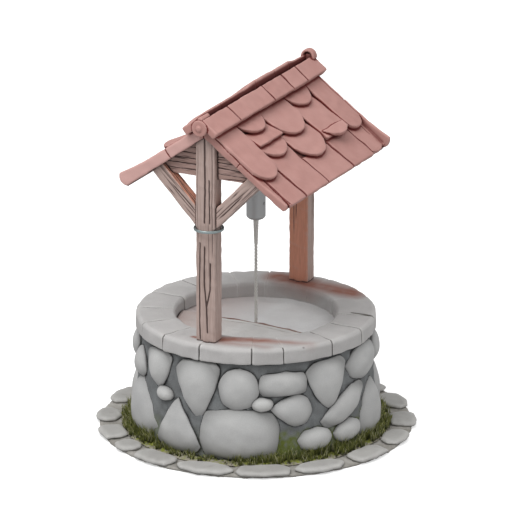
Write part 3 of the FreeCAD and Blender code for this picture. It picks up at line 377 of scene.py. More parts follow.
def net(points, faces, size):
    """A solid rebuilt as an even net of squares of that size."""
    mesh = bpy.data.meshes.new("net")
    mesh.from_pydata(points.tolist(), [], faces)
    body = bpy.data.objects.new("net", mesh)
    bpy.context.scene.collection.objects.link(body)
    change = body.modifiers.new("net", "REMESH")
    change.mode = "VOXEL"
    change.voxel_size = size
    made = bpy.data.meshes.new_from_object(body.evaluated_get(bpy.context.evaluated_depsgraph_get()))
    points = np.empty(len(made.vertices) * 3, np.float32)
    made.vertices.foreach_get("co", points)
    squares = np.empty(len(made.loops), np.int32)
    made.loops.foreach_get("vertex_index", squares)
    bpy.data.objects.remove(body)
    bpy.data.meshes.remove(mesh)
    bpy.data.meshes.remove(made)
    return points.reshape(-1, 3).astype(float), squares.reshape(-1, 4)


def near(values, edges):
    """For each point the mean of its neighbours' values."""
    count = np.bincount(edges.ravel(), minlength=len(values))
    columns = values[:, None] if values.ndim == 1 else values
    total = [np.bincount(edges[:, 0], c[edges[:, 1]], len(values)) +
             np.bincount(edges[:, 1], c[edges[:, 0]], len(values)) for c in columns.T]
    return (np.stack(total, axis=1) / count[:, None]).reshape(values.shape)


def facing(points, squares):
    """The outward direction at each point."""
    a, b, c, d = (points[squares[:, k]] for k in range(4))
    across = np.cross(c - a, d - b)
    out = np.zeros_like(points)
    for k in range(4):
        for axis in range(3):
            out[:, axis] += np.bincount(squares[:, k], across[:, axis], len(points))
    return out / np.maximum(np.linalg.norm(out, axis=1), 1e-12)[:, None]


def edges_of(squares):
    """Each edge of the squares once."""
    pairs = np.concatenate([squares[:, [k, (k + 1) % 4]] for k in range(4)])
    return np.unique(np.sort(pairs, axis=1), axis=0)


def smoothed(points, squares, passes, size, swell):
    """The net smoothed that many times. A share below 1 smooths each solid by that share of its own width,
    and grows it back to its size times the swell, along, across and through, which makes it a pillow."""
    edges = edges_of(squares)
    if passes >= 1:
        for _ in range(passes):
            points = 0.5 * points + 0.5 * near(points, edges)
        return points
    middle = points.mean(axis=0)
    axes = np.linalg.svd(points - middle, full_matrices=False)[2]
    before = (points - middle) @ axes.T
    reach = np.ptp(before, axis=0)
    for _ in range(max(2, int((2 * passes * reach[1] / size) ** 2))):
        points = 0.5 * points + 0.5 * near(points, edges)
    after = (points - middle) @ axes.T
    centre = (before.min(axis=0) + before.max(axis=0)) / 2
    after = ((after - after.min(axis=0)) / np.ptp(after, axis=0) - 0.5) * reach * swell + centre
    return after @ axes + middle


GRAIN_STRETCH = 3


def weathered(name, nodes, finish, slot, size, passes, dents=(), carve=None, grain=None, body="well",
              puff=0.0, swell=(1, 1, 1)):
    """A piece for whole frame nodes: net, puff, smoothing, dents as (depth, wave) pairs, then the carving.

    Smoothing draws the edges in. The puff first pushes the net out by that much, so the stone ends full.
    The grain is a timber's own three directions, the last one along it, and the net is longer that way.
    A carver gets points, their outward directions, both again in the timber's own directions, and a number,
    and gives how deep it cuts, or by how much it moves each point inwards, marks for dirt, and a value for
    stains and painted light.
    """
    own = np.eye(3) if grain is None else grain
    stretch = np.array([1, 1, 1 if grain is None else 1 / GRAIN_STRETCH])
    every = [solid for node in nodes for solid in solids(node)]
    parts, kept = [], []
    for number, (points, faces) in enumerate(every, 1):
        points, squares = net(points @ own.T * stretch, faces, size)
        points = smoothed(points + puff * facing(points, squares), squares, passes, size, swell)
        local = points / stretch
        points = local @ own
        out = facing(points, squares)
        for k, (depth, wave) in enumerate(dents):
            points = points + out * (depth * waves(points, wave, 50 * number + k))[:, None]
        mark = stain_and_painted_light = np.zeros(len(points))
        if carve:
            depth, mark, stain_and_painted_light = carve(points, out, local, out @ own.T, number)
            points = points - (out * depth[:, None] if depth.ndim == 1 else depth)
        edges = edges_of(squares)
        bulge = np.einsum("ij,ij->i", points - near(points, edges), out) / size
        for _ in range(2):
            bulge = 0.5 * bulge + 0.5 * near(bulge, edges)
        parts.append((points, squares.tolist()))
        # How far the net bulges: pale for wear and as a painted highlight, and painted shade where it folds
        # in
        kept.append({"wear": np.clip(0.5 + 4 * bulge, 0, 1),
                     "tone": np.full(len(points), np.random.default_rng(number).random()),
                     "mark": mark, "stain_and_painted_light": stain_and_painted_light, "grain": local + number})
    points, faces, _ = joined(parts)
    values = {label: np.concatenate([one[label] for one in kept]) for label in kept[0]}
    return piece(name, points, faces, finish, body, slot, nodes, **values)


print("weathering helpers ready")


# %% [markdown]
# Stone: weathered limestone, hewn or rounded, matt and a little mottled. It has clouds of colour a hand
# wide, grains of 4 mm, pale rubbed edges with a painted highlight, and painted shade where it folds in and
# in nooks. Each stone has its own tone. One finish could serve all the stone here, but river stones, hewn
# coping and sawn slabs come from different beds, so one function makes each of them from its own colours.

# %% Stone finish
CLOUD, GRIT = 0.09, 0.004


def own_tone(tree, noise):
    """Where a solid is pale: half from clouds of noise, and half from the tone of the whole solid."""
    tone = add(tree, "ShaderNodeAttribute", attribute_name="tone").outputs["Fac"]
    spread = add(tree, "ShaderNodeMapRange", {0: noise, 1: 0.35, 2: 0.65}).outputs[0]
    both = add(tree, "ShaderNodeMath", {0: spread, 1: tone}, operation="ADD").outputs[0]
    return add(tree, "ShaderNodeMath", {0: both, 1: 0.5}, operation="MULTIPLY").outputs[0]


def grained(tree, colour, noise, dark, light, low=0.3, high=0.7):
    """A colour times a factor from dark to light, as a noise goes from its low to its high end."""
    factor = add(tree, "ShaderNodeMapRange", {0: noise, 1: low, 2: high, 3: dark, 4: light}).outputs[0]
    return add(tree, "ShaderNodeVectorMath", {0: colour, 1: factor}, operation="MULTIPLY").outputs[0]


def limestone(name, pale, deep, dirt_and_shade, joint_dark_and_shade=0.8, stain_and_painted_light="#84503F"):
    """Matt stone: two tones in clouds, specks of grit, pale rubbed edges with a painted highlight,
    painted shade in folds and nooks, dark joints with painted contact shadow, and stains and painted light
    where marked.
    """
    made, tree, shader = material(name)
    where = add(tree, "ShaderNodeTexCoord").outputs["Object"]
    clouds = add(tree, "ShaderNodeTexNoise", {"Vector": where, "Scale": 1 / CLOUD, "Detail": 5.0}).outputs[0]
    specks = add(tree, "ShaderNodeTexNoise", {"Vector": where, "Scale": 1 / GRIT, "Detail": 2.0}).outputs[0]
    streaks = add(tree, "ShaderNodeMapRange", {0: clouds, 1: 0.3, 2: 0.6, 3: 0.7, 4: 1.0}).outputs[0]
    stain_and_light_share = value_of(tree, "stain_and_painted_light", 0.0, 1.0, 0.95)
    streaked_stain_and_light = add(tree, "ShaderNodeMath", {0: stain_and_light_share, 1: streaks}, operation="MULTIPLY").outputs[0]
    base = layered(tree, deep, (own_tone(tree, clouds), pale), (("wear", 0.56, 0.95, 0.3), "#CCCBC8"),
                   (streaked_stain_and_light, stain_and_painted_light), (("wear", 0.46, 0.2, 0.7), dirt_and_shade), (("nook_shade", 0.15, 0.75, 0.85), dirt_and_shade),
                   (("joint_dark_and_shade", 0.3, 0.8, joint_dark_and_shade), dirt_and_shade), (("mark", 0.05, 0.7, 0.9), "#45433A"))
    height = add(tree, "ShaderNodeMath", {0: specks, 1: clouds}, operation="ADD").outputs[0]
    bump = add(tree, "ShaderNodeBump", {"Height": height, "Strength": 0.15, "Distance": 0.001}).outputs[0]
    feed(tree, shader, {"Base Color": grained(tree, base, specks, 0.94, 1.05), "Normal": bump,
                        "Roughness": 0.86, "IOR": 1.5})
    return made


# For the river stones the stain colour is a grey that darkens their rims, as painted shade
fieldstone = limestone("weathered_fieldstone", "#B2B2B1", "#A5A5A5", "#5F5F5E", joint_dark_and_shade=0.35, stain_and_painted_light="#6E6E6D")
coping_stone = limestone("hewn_limestone_coping", "#B3B1B0", "#A5A3A2", "#55524F")
cobble_stone = limestone("worn_paving_cobble", "#A09F9C", "#918F8C", "#76736A", joint_dark_and_shade=0.4)
slab_stone = limestone("sawn_limestone_slab", "#CFCECC", "#BFBDBB", "#6A5B56")
# The floor slab takes a paler copy of the sawn slab, as painted light where the roof shades it
lightened_floor_slab = limestone("lightened_limestone_floor_slab", "#DDDEDE", "#D0D0D0", "#8A8583", joint_dark_and_shade=0.2)
print("stone finishes ready")


# %% [markdown]
# The wall is a mortar drum with boulders bedded in it. They are river stones, rounded on every side. Balls
# pressed flat would lose the outlines that the stones were laid to, so each is smoothed instead, by a share
# of its own width: a big stone gets big round corners and a small one small ones. They keep their places,
# and the dents are slow and shallow.

# %% Wall stones
def bulging(points, out, *rest):
    """A river stone's face falls back towards the wall from its middle out, and its rim is painted darker as
    shade.
    """
    centre = (points.min(axis=0) + points.max(axis=0)) / 2
    turn = math.atan2(centre[1], centre[0])
    sideways = (points - centre) @ np.array([-math.sin(turn), math.cos(turn), 0])
    upwards = points[:, 2] - centre[2]
    wide, high = np.abs(sideways).max(), np.abs(upwards).max()
    far = np.clip(np.hypot(sideways / wide, upwards / high), 0, 1.15)
    away = np.array([math.cos(turn), math.sin(turn), 0])
    proud = (points - centre) @ away
    fall = min(0.022, 0.25 * min(wide, high)) * far**2.8 * np.clip(proud / proud.max(), 0, 1)
    return fall[:, None] * away, 0 * far, 0.75 * np.clip((far - 0.62) / 0.45, 0, 1) ** 1.5


walls = [f"wall_stones_{side}" for side in ("front", "right", "back", "left")]
weathered("wall_boulders", walls, fieldstone, "wall_stone", size=0.006, passes=0.21,
          dents=[(0.0012, 0.09)], carve=bulging, puff=0.006, swell=(1.05, 1.07, 1.45))


# %% [markdown]
# The coping stones were hewn to the curve of the wall and then worn by hands and rope: a few smoothing
# passes leave a face, a bevel of about a finger's width and a slightly wavy edge. Reddish streaks run from
# the post feet over the stone to their right. Noise alone would put stains anywhere, so these places are
# given as short lines on the top of the coping and on the half round slab.

# %% Coping, floor and paving
COPING_TOP, SLAB_TOP = 0.606, 0.5423


def top_line(*spots):
    """A line of marked spots on the top of the coping."""
    return [(x, y, COPING_TOP) for x, y in spots]


def close_to(points, spots, wide):
    """How near each point is to a line of marked spots: 1 on it and 0 a width away."""
    best = np.full(len(points), np.inf)
    for a, b in zip(spots[:-1], spots[1:]):
        a, b = np.array(a), np.array(b)
        t = np.clip(((points - a) @ (b - a)) / max((b - a) @ (b - a), 1e-9), 0, 1)
        best = np.minimum(best, np.linalg.norm(points - a - t[:, None] * (b - a), axis=1))
    return np.clip(1 - best / wide, 0, 1)


FILLED_AT = (-180, -114, -104, -46, -38, 18, 30, 132, 146, 180)
FILLED = (0, 0, 1, 1, 0, 0, 1, 1, 0, 0)


def flush(points):
    """Where the coping's joints are filled flush: on top in front and all along behind, but not outside."""
    bearing = np.degrees(np.arctan2(points[:, 1], points[:, 0]))
    within = np.clip((0.580 - np.hypot(points[:, 0], points[:, 1])) / 0.015, 0, 1)
    return np.interp(bearing, FILLED_AT, FILLED) * within


def marks_on_coping(points, out, *rest):
    """Reddish streaks round the post feet, a faint painted reflection on the rear inner face at the left, a
    mossy joint on the right, a pit in front, and joints filled flush.
    """
    fading = np.clip(1.15 - (points[:, 0] - 0.06) / 0.45, 0, 1)
    stain_and_painted_light = 1.5 * close_to(points, top_line((0.05, -0.47), (0.10, -0.446), (0.475, -0.337)), 0.05) * fading
    stain_and_painted_light = stain_and_painted_light + 0.6 * close_to(points, top_line((0.06, -0.52), (0.30, -0.47)), 0.05) * fading
    stain_and_painted_light = np.maximum(stain_and_painted_light, 1.2 * close_to(points, top_line((-0.09, -0.505), (-0.05, -0.51)), 0.022))
    behind = close_to(points, top_line((-0.12, 0.49), (0.08, 0.46), (0.32, 0.44)), 0.11)
    stain_and_painted_light = np.maximum(stain_and_painted_light, 1.3 * behind)
    away = np.hypot(points[:, 0], points[:, 1])
    # A faint reddish reflection painted on the rear inner face, at the left
    inside = np.clip(-out @ np.array([0, 1, 0]), 0, 1) * (away < 0.41)
    stain_and_painted_light = np.maximum(stain_and_painted_light, 0.12 * inside * (points[:, 0] < -0.02))
    mark = close_to(points, top_line((0.452, 0.171), (0.575, 0.174)), 0.011)
    mark = np.maximum(mark, close_to(points, [(0.461, -0.387, 0.603), (0.462, -0.386, 0.602)], 0.009))
    around = np.stack([-points[:, 1], points[:, 0]], axis=1) / away[:, None]
    shut = 0.0045 * np.abs(np.einsum("ij,ij->i", out[:, :2], around)) * flush(points)
    return 0.003 * mark - shut, mark, np.clip(stain_and_painted_light, 0, 1)


# The red brown line along the straight front edge of the half round slab, seen from above
EDGE = [(-0.19, -0.022), (-0.13, -0.027), (-0.06, -0.015), (0, -0.018), (0.06, -0.027), (0.12, -0.028),
        (0.20, -0.041), (0.26, -0.046), (0.34, -0.060)]


def marks_on_cover(points, out, *rest):
    """The red brown line along the straight edge of the half round slab, with a pale lip before it, and
    reddish reflected light painted on the left.
    """
    line = close_to(points, [(x, y, SLAB_TOP) for x, y in EDGE], 0.016)
    lip = close_to(points, [(x, y - 0.027, SLAB_TOP) for x, y in EDGE], 0.013)
    # Reddish reflected light painted on the left half
    left = np.clip(-points[:, 0] / 0.3 - 0.1, 0, 1) * 0.5
    return 0.003 * line - 0.004 * lip, 0.4 * line, np.clip(np.maximum(left, 3 * line) - 2 * lip, 0, 1)


def marks_on_floor(points, out, *rest):
    """Reddish reflected light painted on the left, and mortar makes a small cove along the foot of the
    coping.
    """
    rim = np.clip((np.hypot(points[:, 0], points[:, 1]) - 0.345) / 0.06, 0, 1)
    cove = 0.013 * rim**2 * np.clip(out[:, 2], 0, 1)
    # The stain value here is reddish reflected light painted on the left
    return -cove, 0 * rim, np.clip(-points[:, 0] / 0.3 - 0.1, 0, 1) * 0.5


weathered("coping", ["coping_stones"], coping_stone, "coping_stone", size=0.0055, passes=4,
          dents=[(0.0020, 0.11)], carve=marks_on_coping, puff=0.0012)
weathered("cover_stone", ["cover_slab"], slab_stone, "slab_stone", size=0.005, passes=3,
          dents=[(0.0015, 0.09)], carve=marks_on_cover, puff=0.003)
weathered("floor_stone", ["floor_slab"], lightened_floor_slab, "slab_stone", size=0.006, passes=2,
          dents=[(0.0010, 0.12)], carve=marks_on_floor, puff=0.002)
weathered("paving_cobbles", ["paving_stones"], cobble_stone, "paving_stone", size=0.0055, passes=0.08,
          dents=[(0.0014, 0.08)], puff=0.005, swell=(1.14, 1.12, 1.0))

# %% [markdown]
# Old mortar: coarse sand in a grey binder, rough, almost black where the stones shade it, and green with
# moss near the ground. Trodden grit lies between the paving stones: the same sand, paler. Real grains would
# be millions of tiny solids, so noise draws them, 5 mm wide, in the colour and in the bump.

# %% Mortar and grit
def sandy(name, pale, deep, shade, dark):
    """Rough sand and binder: patches of two tones, grains of 5 mm, painted shade in the nooks and at the
    joints, moss where marked.
    """
    made, tree, shader = material(name)
    where = add(tree, "ShaderNodeTexCoord").outputs["Object"]
    sand = add(tree, "ShaderNodeTexNoise", {"Vector": where, "Scale": 1 / 0.005, "Detail": 4.0}).outputs[0]
    patch = add(tree, "ShaderNodeTexNoise", {"Vector": where, "Scale": 1 / 0.08, "Detail": 3.0}).outputs[0]
    share = add(tree, "ShaderNodeMapRange", {0: patch, 1: 0.4, 2: 0.65}).outputs[0]
    base = layered(tree, deep, (share, pale), (("nook_shade", 0.04, 0.55, 0.9), shade),
                   (("joint_dark_and_shade", 0.2, 0.8, dark), shade), (("mark", 0.0, 0.8, 0.95), "#5C6622"))
    bump = add(tree, "ShaderNodeBump", {"Height": sand, "Strength": 0.4, "Distance": 0.002}).outputs[0]
    feed(tree, shader, {"Base Color": grained(tree, base, sand, 0.84, 1.08), "Normal": bump,
                        "Roughness": 0.95})
    return made


mortar = sandy("sandy_lime_mortar", "#76797A", "#686A6B", "#2A2A2A", dark=0.6)
grit = sandy("trodden_pale_grit", "#9F9C97", "#86837D", "#5C5A55", dark=0.3)


def moss_on_mortar(points, *rest):
    """Moss up to 18 cm above the ground, most of all in the gap right of the big front stone."""
    bearing = np.degrees(np.arctan2(points[:, 1], points[:, 0]))
    share = np.interp(bearing, (-180, -150, -128, -105, -72, -64, -50, -38, 20, 60, 180),
                      (0.6, 0.8, 0.5, 0.15, 0.1, 1, 1, 0.7, 0.6, 0.4, 0.6))
    share *= np.clip((0.18 + 0.02 * waves(points, 0.05, 2) - points[:, 2]) / 0.06, 0, 1)
    return 0 * share, share * (0.75 + 0.25 * waves(points, 0.02, 3)), 0 * share


weathered("mortar_drum", ["wall_core"], mortar, "mortar", size=0.008, passes=2, dents=[(0.003, 0.06)],
          carve=moss_on_mortar)
weathered("paving_grit", ["paving_bed"], grit, "mortar", size=0.008, passes=2, dents=[(0.0015, 0.05)])


# %% [markdown]
# Turf grows in the ring between the wall and the cobbles, closest to the wall, where rain runs down. The
# ground under it is a bumpy pad of pale grit that turns green where the grass is thick. Hair particles would
# give grass quickly, but they don't come along when the model leaves Blender. So the grass is real blades in
# tufts, each a thin three-sided spike that bends over. It is thick at the left front and on the right, and
# thin in front where people stand. One blade in eight is dry straw.

# %% Turf and grass
BEARINGS = (-180, -158, -150, -122, -104, -76, -62, -40, -15, 20, 60, 180)
THICKNESS = (0.7, 0.8, 1.0, 0.9, 0.30, 0.25, 0.85, 0.8, 1.0, 0.9, 0.6, 0.7)


def green_share(points, out, *rest):
    """How green the ground is: thick near the wall, by bearing round it. The pad slopes off at its rim."""
    bearing = np.degrees(np.arctan2(points[:, 1], points[:, 0]))
    away = np.hypot(points[:, 0], points[:, 1])
    green = np.interp(bearing, BEARINGS, THICKNESS) * np.clip((0.676 - away) / 0.045, 0, 1)
    return 0.010 * np.clip((away - 0.655) / 0.03, 0, 1) * np.clip(out[:, 2], 0, 1), green, 0 * green


turf_finish, tree, shader = material("mossy_turf")
where = add(tree, "ShaderNodeTexCoord").outputs["Object"]
moss = add(tree, "ShaderNodeTexNoise", {"Vector": where, "Scale": 1 / 0.02, "Detail": 6.0}).outputs[0]
share = add(tree, "ShaderNodeMapRange", {0: moss, 1: 0.35, 2: 0.62}).outputs[0]
thick = add(tree, "ShaderNodeMath", {0: value_of(tree, "mark", 0.0, 0.6), 1: share}, operation="ADD")
thick = add(tree, "ShaderNodeMapRange", {0: thick.outputs[0], 1: 0.5, 2: 1.3}).outputs[0]
# Green where marked, and painted shade in the nooks
ground = layered(tree, "#868073", (share, "#9D988E"), (thick, layered(tree, "#46491C", (share, "#757A2E"))),
                 (("nook_shade", 0.15, 0.8, 0.8), "#3B3A22"))
bump = add(tree, "ShaderNodeBump", {"Height": moss, "Strength": 0.6, "Distance": 0.003}).outputs[0]
feed(tree, shader, {"Base Color": ground, "Normal": bump, "Roughness": 0.95})
weathered("turf_pad", ["turf"], turf_finish, "turf", size=0.006, passes=3,
          dents=[(0.003, 0.03), (0.0015, 0.012)], carve=green_share)

blade_finish, tree, shader = material("meadow_grass_blade")
tone = add(tree, "ShaderNodeAttribute", attribute_name="tone").outputs["Fac"]
straw = add(tree, "ShaderNodeMath", {0: tone, 1: 0.87}, operation="GREATER_THAN").outputs[0]
leaf = layered(tree, "#4C5524", (tone, "#8C8E42"), (straw, "#C2BE9C"))
# The blades darken towards the root, as painted shade inside the tufts; their value is the height up the
# blade
leaf = layered(tree, "#3A3C1A", (("wear", 0.0, 0.7), leaf))
where = add(tree, "ShaderNodeTexCoord").outputs["Object"]
vein = add(tree, "ShaderNodeTexNoise", {"Vector": where, "Scale": 1 / 0.01}).outputs[0]
feed(tree, shader, {"Base Color": grained(tree, leaf, vein, 0.75, 1.25, low=0, high=1), "Roughness": 0.6})

CLUMPS, BLADES = 560, 15
RING_IN, RING_WIDE, NEAREST, ROOT = 0.613, 0.062, 0.612, 0.022
BEND_AT, TAPER = np.array([0, 0.35, 0.7, 1]), np.array([1, 0.85, 0.55, 0.12])
dice = np.random.default_rng(4)
blades, tones, heights = [], [], []
for _ in range(CLUMPS):
    bearing = dice.uniform(-180, 180)
    thick = np.interp(bearing, BEARINGS, THICKNESS)
    if dice.random() > thick * 1.1:
        continue
    bearing = math.radians(bearing)
    reach = RING_IN + RING_WIDE * dice.random() ** 1.7
    tallest = dice.uniform(0.034, 0.082) * (0.5 + 0.5 * thick) * (1.25 - 8 * (reach - RING_IN))
    for _ in range(int(BLADES * dice.uniform(0.6, 1.4))):
        swing = bearing + dice.normal(0, 0.016)
        spot = max(NEAREST, reach + dice.normal(0, 0.006))
        tall = tallest * dice.uniform(0.45, 1)
        lean = bearing + dice.normal(0, 1.2)
        bend = tall * dice.uniform(0.05, 0.5)
        line = np.stack([spot * math.cos(swing) + bend * BEND_AT**2 * math.cos(lean),
                         spot * math.sin(swing) + bend * BEND_AT**2 * math.sin(lean),
                         ROOT + tall * BEND_AT], axis=1)
        blades.append(tube(line, dice.uniform(0.0012, 0.0024) * TAPER, 3))
        tones.append(dice.random())
        heights.append(np.repeat(BEND_AT, 3))
points, faces, owner = joined(blades)
# The height up each blade is kept as the value that paints the root shade
piece("grass_blades", points, faces, blade_finish, "well", "grass", ["grass"],
      tone=np.array(tones)[owner], wear=np.concatenate(heights))


# %% [markdown]
# The timber is old sawn oak, silvered by weather and a little pink. As it dried it opened into shakes,
# straight dark cracks along the grain, 4 to 8 mm wide. A bump alone would leave its edges straight, so the
# shakes are cut into the net and kept as a mark, and the finish darkens them. The net is three times longer
# along the grain than across it. Faces that look one given way are made red brown.

# %% Timber finish
def oak(name, pale, deep, groove_and_shade, kept_node=False):
    """Silvered oak: long grain 3 mm wide, dark shakes where marked, red brown on the faces given, pale rubbed
    edges with a painted highlight, painted shade in nooks, and dark joints with painted contact shadow. A
    kept node has no grain of its own, and it runs from front to back there."""
    made, tree, shader = material(name)
    if kept_node:
        where, run = add(tree, "ShaderNodeTexCoord").outputs["Object"], (1, 0.05, 1)
    else:
        where, run = add(tree, "ShaderNodeAttribute", attribute_name="grain").outputs["Vector"], (1, 1, 0.05)
    where = add(tree, "ShaderNodeVectorMath", {0: where, 1: run}, operation="MULTIPLY").outputs[0]
    rings = add(tree, "ShaderNodeTexNoise", {"Vector": where, "Scale": 1 / 0.012, "Detail": 3.0,
                                             "Distortion": 0.3}).outputs[0]
    fine = add(tree, "ShaderNodeTexNoise", {"Vector": where, "Scale": 1 / 0.003, "Detail": 2.0}).outputs[0]
    base = layered(tree, deep, (own_tone(tree, rings), pale), (("stain_and_painted_light", 0.0, 1.0, 0.85), "#CF8A6F"),
                   (("wear", 0.58, 0.9, 0.3), "#B5A39C"), (("mark", 0.05, 0.6), groove_and_shade),
                   (("nook_shade", 0.2, 0.85, 0.85), groove_and_shade), (("joint_dark_and_shade", 0.1, 0.6, 0.9), groove_and_shade))
    bump = add(tree, "ShaderNodeBump", {"Height": fine, "Strength": 0.3, "Distance": 0.001}).outputs[0]
    feed(tree, shader, {"Base Color": grained(tree, base, fine, 0.9, 1.08), "Normal": bump,
                        "Roughness": 0.8})
    return made


silver_oak = oak("silvered_sawn_oak", "#B39E97", "#9C877F", "#463531")
# The gables take a darker, pinker copy of the oak, as painted shade under the roof
shade_darkened_gable_oak = oak("shade_darkened_sawn_oak", "#AC8F88", "#93786F", "#402B27")
# The roof boards are dark maroon, as painted shade under the tiles
shade_dark_roof_oak = oak("shade_dark_oak_roof_boards", "#7A4A42", "#54302B", "#3A201C", kept_node=True)


def grain_of(aim):
    """A timber's own directions: two across and the last along its grain, towards aim."""
    ahead = np.array(aim, float) / np.linalg.norm(aim)
    side = np.cross(ahead, [1, 0, 0] if abs(ahead[0]) < 0.9 else [0, 1, 0])
    side /= np.linalg.norm(side)
    return np.stack([side, np.cross(ahead, side), ahead])


def shakes(count, wide, deep, cracks=(), red=None):
    """A carver that opens straight cracks along the grain, and marked ones. Red is a direction, and faces
    that look that way are made red brown."""
    def carve(points, out, local, facing_own, number):
        dice = np.random.default_rng(17 * number + count)
        flat = local[:, :2] - (local[:, :2].min(axis=0) + local[:, :2].max(axis=0)) / 2
        across = np.where(np.abs(facing_own[:, 1]) > np.abs(facing_own[:, 0]), flat[:, 0], flat[:, 1])
        run = local[:, 2]
        half, long = np.abs(across).max(), np.ptp(run)
        mark = np.zeros(len(points))
        for _ in range(count):
            at = half * dice.uniform(-0.85, 0.85)
            centre, reach = run.min() + long * dice.random(), long * dice.uniform(0.12, 0.45)
            sway = dice.uniform(0.001, 0.003) * np.sin(run * dice.uniform(8, 30) + dice.uniform(0, 6))
            fade = np.clip((reach - np.abs(run - centre)) / 0.05, 0, 1)
            line = np.exp(-(((across - at - sway) / wide) ** 2))
            mark = np.maximum(mark, dice.uniform(0.4, 1) * fade * line)
        for spots, width in cracks:
            mark = np.maximum(mark, np.clip(1.6 * close_to(points, spots, width), 0, 1))
        stain_and_painted_light = np.clip(out @ np.array(red, float), 0, 1) if red else 0 * mark
        return deep * mark, mark, stain_and_painted_light
    return carve


# The front post's own cracks: a fork near the foot and long shakes beside and above it. The first numbers
# are places across and up its front face, and the last one is how wide a crack is.
FACE = -0.549
FRONT_CRACKS = [
    ([(0.010, 0.66), (0.006, 0.79), (-0.006, 0.90), (-0.004, 1.10)], 0.0055),
    ([(0.006, 0.79), (0.026, 0.88), (0.028, 1.02)], 0.005),
    ([(-0.030, 0.62), (-0.033, 0.86), (-0.028, 1.12)], 0.0045),
    ([(-0.004, 1.23), (-0.001, 1.40), (-0.002, 1.68)], 0.0060),
    ([(0.024, 1.23), (0.022, 1.45)], 0.0045),
]
cracks = [([(x, FACE, z) for x, z in places], width) for places, width in FRONT_CRACKS]
TIMBER_NET = 0.0026
UPRIGHT, LEVEL, LENGTHWISE = grain_of((0, 0, 1)), grain_of((1, 0, 0)), grain_of((0, 1, 0))
weathered("post_front_oak", ["post_front"], silver_oak, "timber", TIMBER_NET, passes=4,
          dents=[(0.0012, 0.05)], carve=shakes(3, 0.0022, 0.0020, cracks), grain=UPRIGHT)
weathered("post_back_oak", ["post_back"], silver_oak, "timber", TIMBER_NET, passes=4,
          dents=[(0.0012, 0.05)], carve=shakes(4, 0.0022, 0.0018, red=(0, -1, 0)), grain=UPRIGHT)
for node in [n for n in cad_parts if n.startswith("brace_")]:
    side = 1 if node.endswith("right") else -1
    weathered(node + "_oak", [node], silver_oak, "timber", TIMBER_NET, passes=4, dents=[(0.0010, 0.05)],
              carve=shakes(7, 0.0030, 0.0030, red=(-0.8 * side, 0, 0.8 * (side < 0))),
              grain=grain_of((side, 0, 1)))
for end in ("front", "back"):
    weathered(f"gable_{end}_oak", [f"gable_boards_{end}"], shade_darkened_gable_oak, "timber", TIMBER_NET, passes=2,
              dents=[(0.0008, 0.05)], carve=shakes(3, 0.0024, 0.0014), grain=LEVEL, puff=0.0002)
for name, node in (("ridge_beam_oak", "ridge_beam"), ("purlin_oak", "purlins")):
    weathered(name, [node], silver_oak, "timber", size=0.005, passes=2, dents=[(0.0010, 0.05)],
              carve=shakes(6, 0.004, 0.002), grain=LENGTHWISE)


def finish_node(node, finish):
    """A finish for a node of the frame that is kept as it is."""
    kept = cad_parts[node]
    kept.data.materials.clear()
    kept.data.materials.append(finish)


for node in ("roof_boards_left", "roof_boards_right"):
    finish_node(node, shade_dark_roof_oak)


# %% [markdown]
# The tiles are hand-made terracotta, fired without a glaze: matt, each from its own batch, so each has its
# own tone. Their rims are rubbed pale, with a painted highlight, and their joints are dark. Under each row,
# in the folds and in the open slot along the ridge, the colour is darkened as painted shade, and the front of
# the left verge is made paler as painted light. One tile copied many times would be less work, but on a real
# roof no two are alike.

# %% Tiles
terracotta, tree, shader = material("hand_made_terracotta")
where = add(tree, "ShaderNodeTexCoord").outputs["Object"]
clouds = add(tree, "ShaderNodeTexNoise", {"Vector": where, "Scale": 1 / 0.07, "Detail": 4.0}).outputs[0]
sand = add(tree, "ShaderNodeTexNoise", {"Vector": where, "Scale": 1 / 0.003, "Detail": 3.0}).outputs[0]
# Over the clay: painted light on the left verge's front, pale rims with a painted highlight, painted shade in
# folds, in nooks and under the tails, dark joints, and the slot's faces darkened as painted shade
clay = layered(tree, "#A0746D", (own_tone(tree, clouds), "#AC817A"), (("stain_and_painted_light", 0.0, 1.0, 0.7), "#CBA49E"),
               (("wear", 0.57, 0.95, 0.15), "#C6A19A"), (("wear", 0.45, 0.15, 0.9), "#5A241E"),
               (("nook_shade", 0.07, 0.42, 0.95), "#6A241E"), (("joint_dark_and_shade", 0.05, 0.5, 0.95), "#6A241E"),
               (("mark", 0.1, 0.7), "#5A1F1A"))
bump = add(tree, "ShaderNodeBump", {"Height": sand, "Strength": 0.2, "Distance": 0.001}).outputs[0]
feed(tree, shader, {"Base Color": grained(tree, clay, sand, 0.97, 1.02), "Normal": bump,
                    "Roughness": 0.75, "IOR": 1.5})


def open_joints(points, out, *rest):
    """Joints that run down the slope, opened a little wavily along both side edges of each tile."""
    y = points[:, 1] + 0.0035 * waves(points, 0.09, 5)
    beside = np.minimum(y - points[:, 1].min(), points[:, 1].max() - y)
    line = np.clip(1.3 - beside / 0.008, 0, 1) * (out[:, 2] > 0.2)
    return 0.004 * line, line, 0 * line


# The way the left slope faces, and the slot of the ridge: half its width, its front end, and its lit top,
# below which its faces get painted shade
LEFT_SLOPE = np.array([-0.616, 0, 0.788])
SLOT_WALL, SLOT_FRONT, SLOT_LIT = 0.0165, -0.53, 1.776


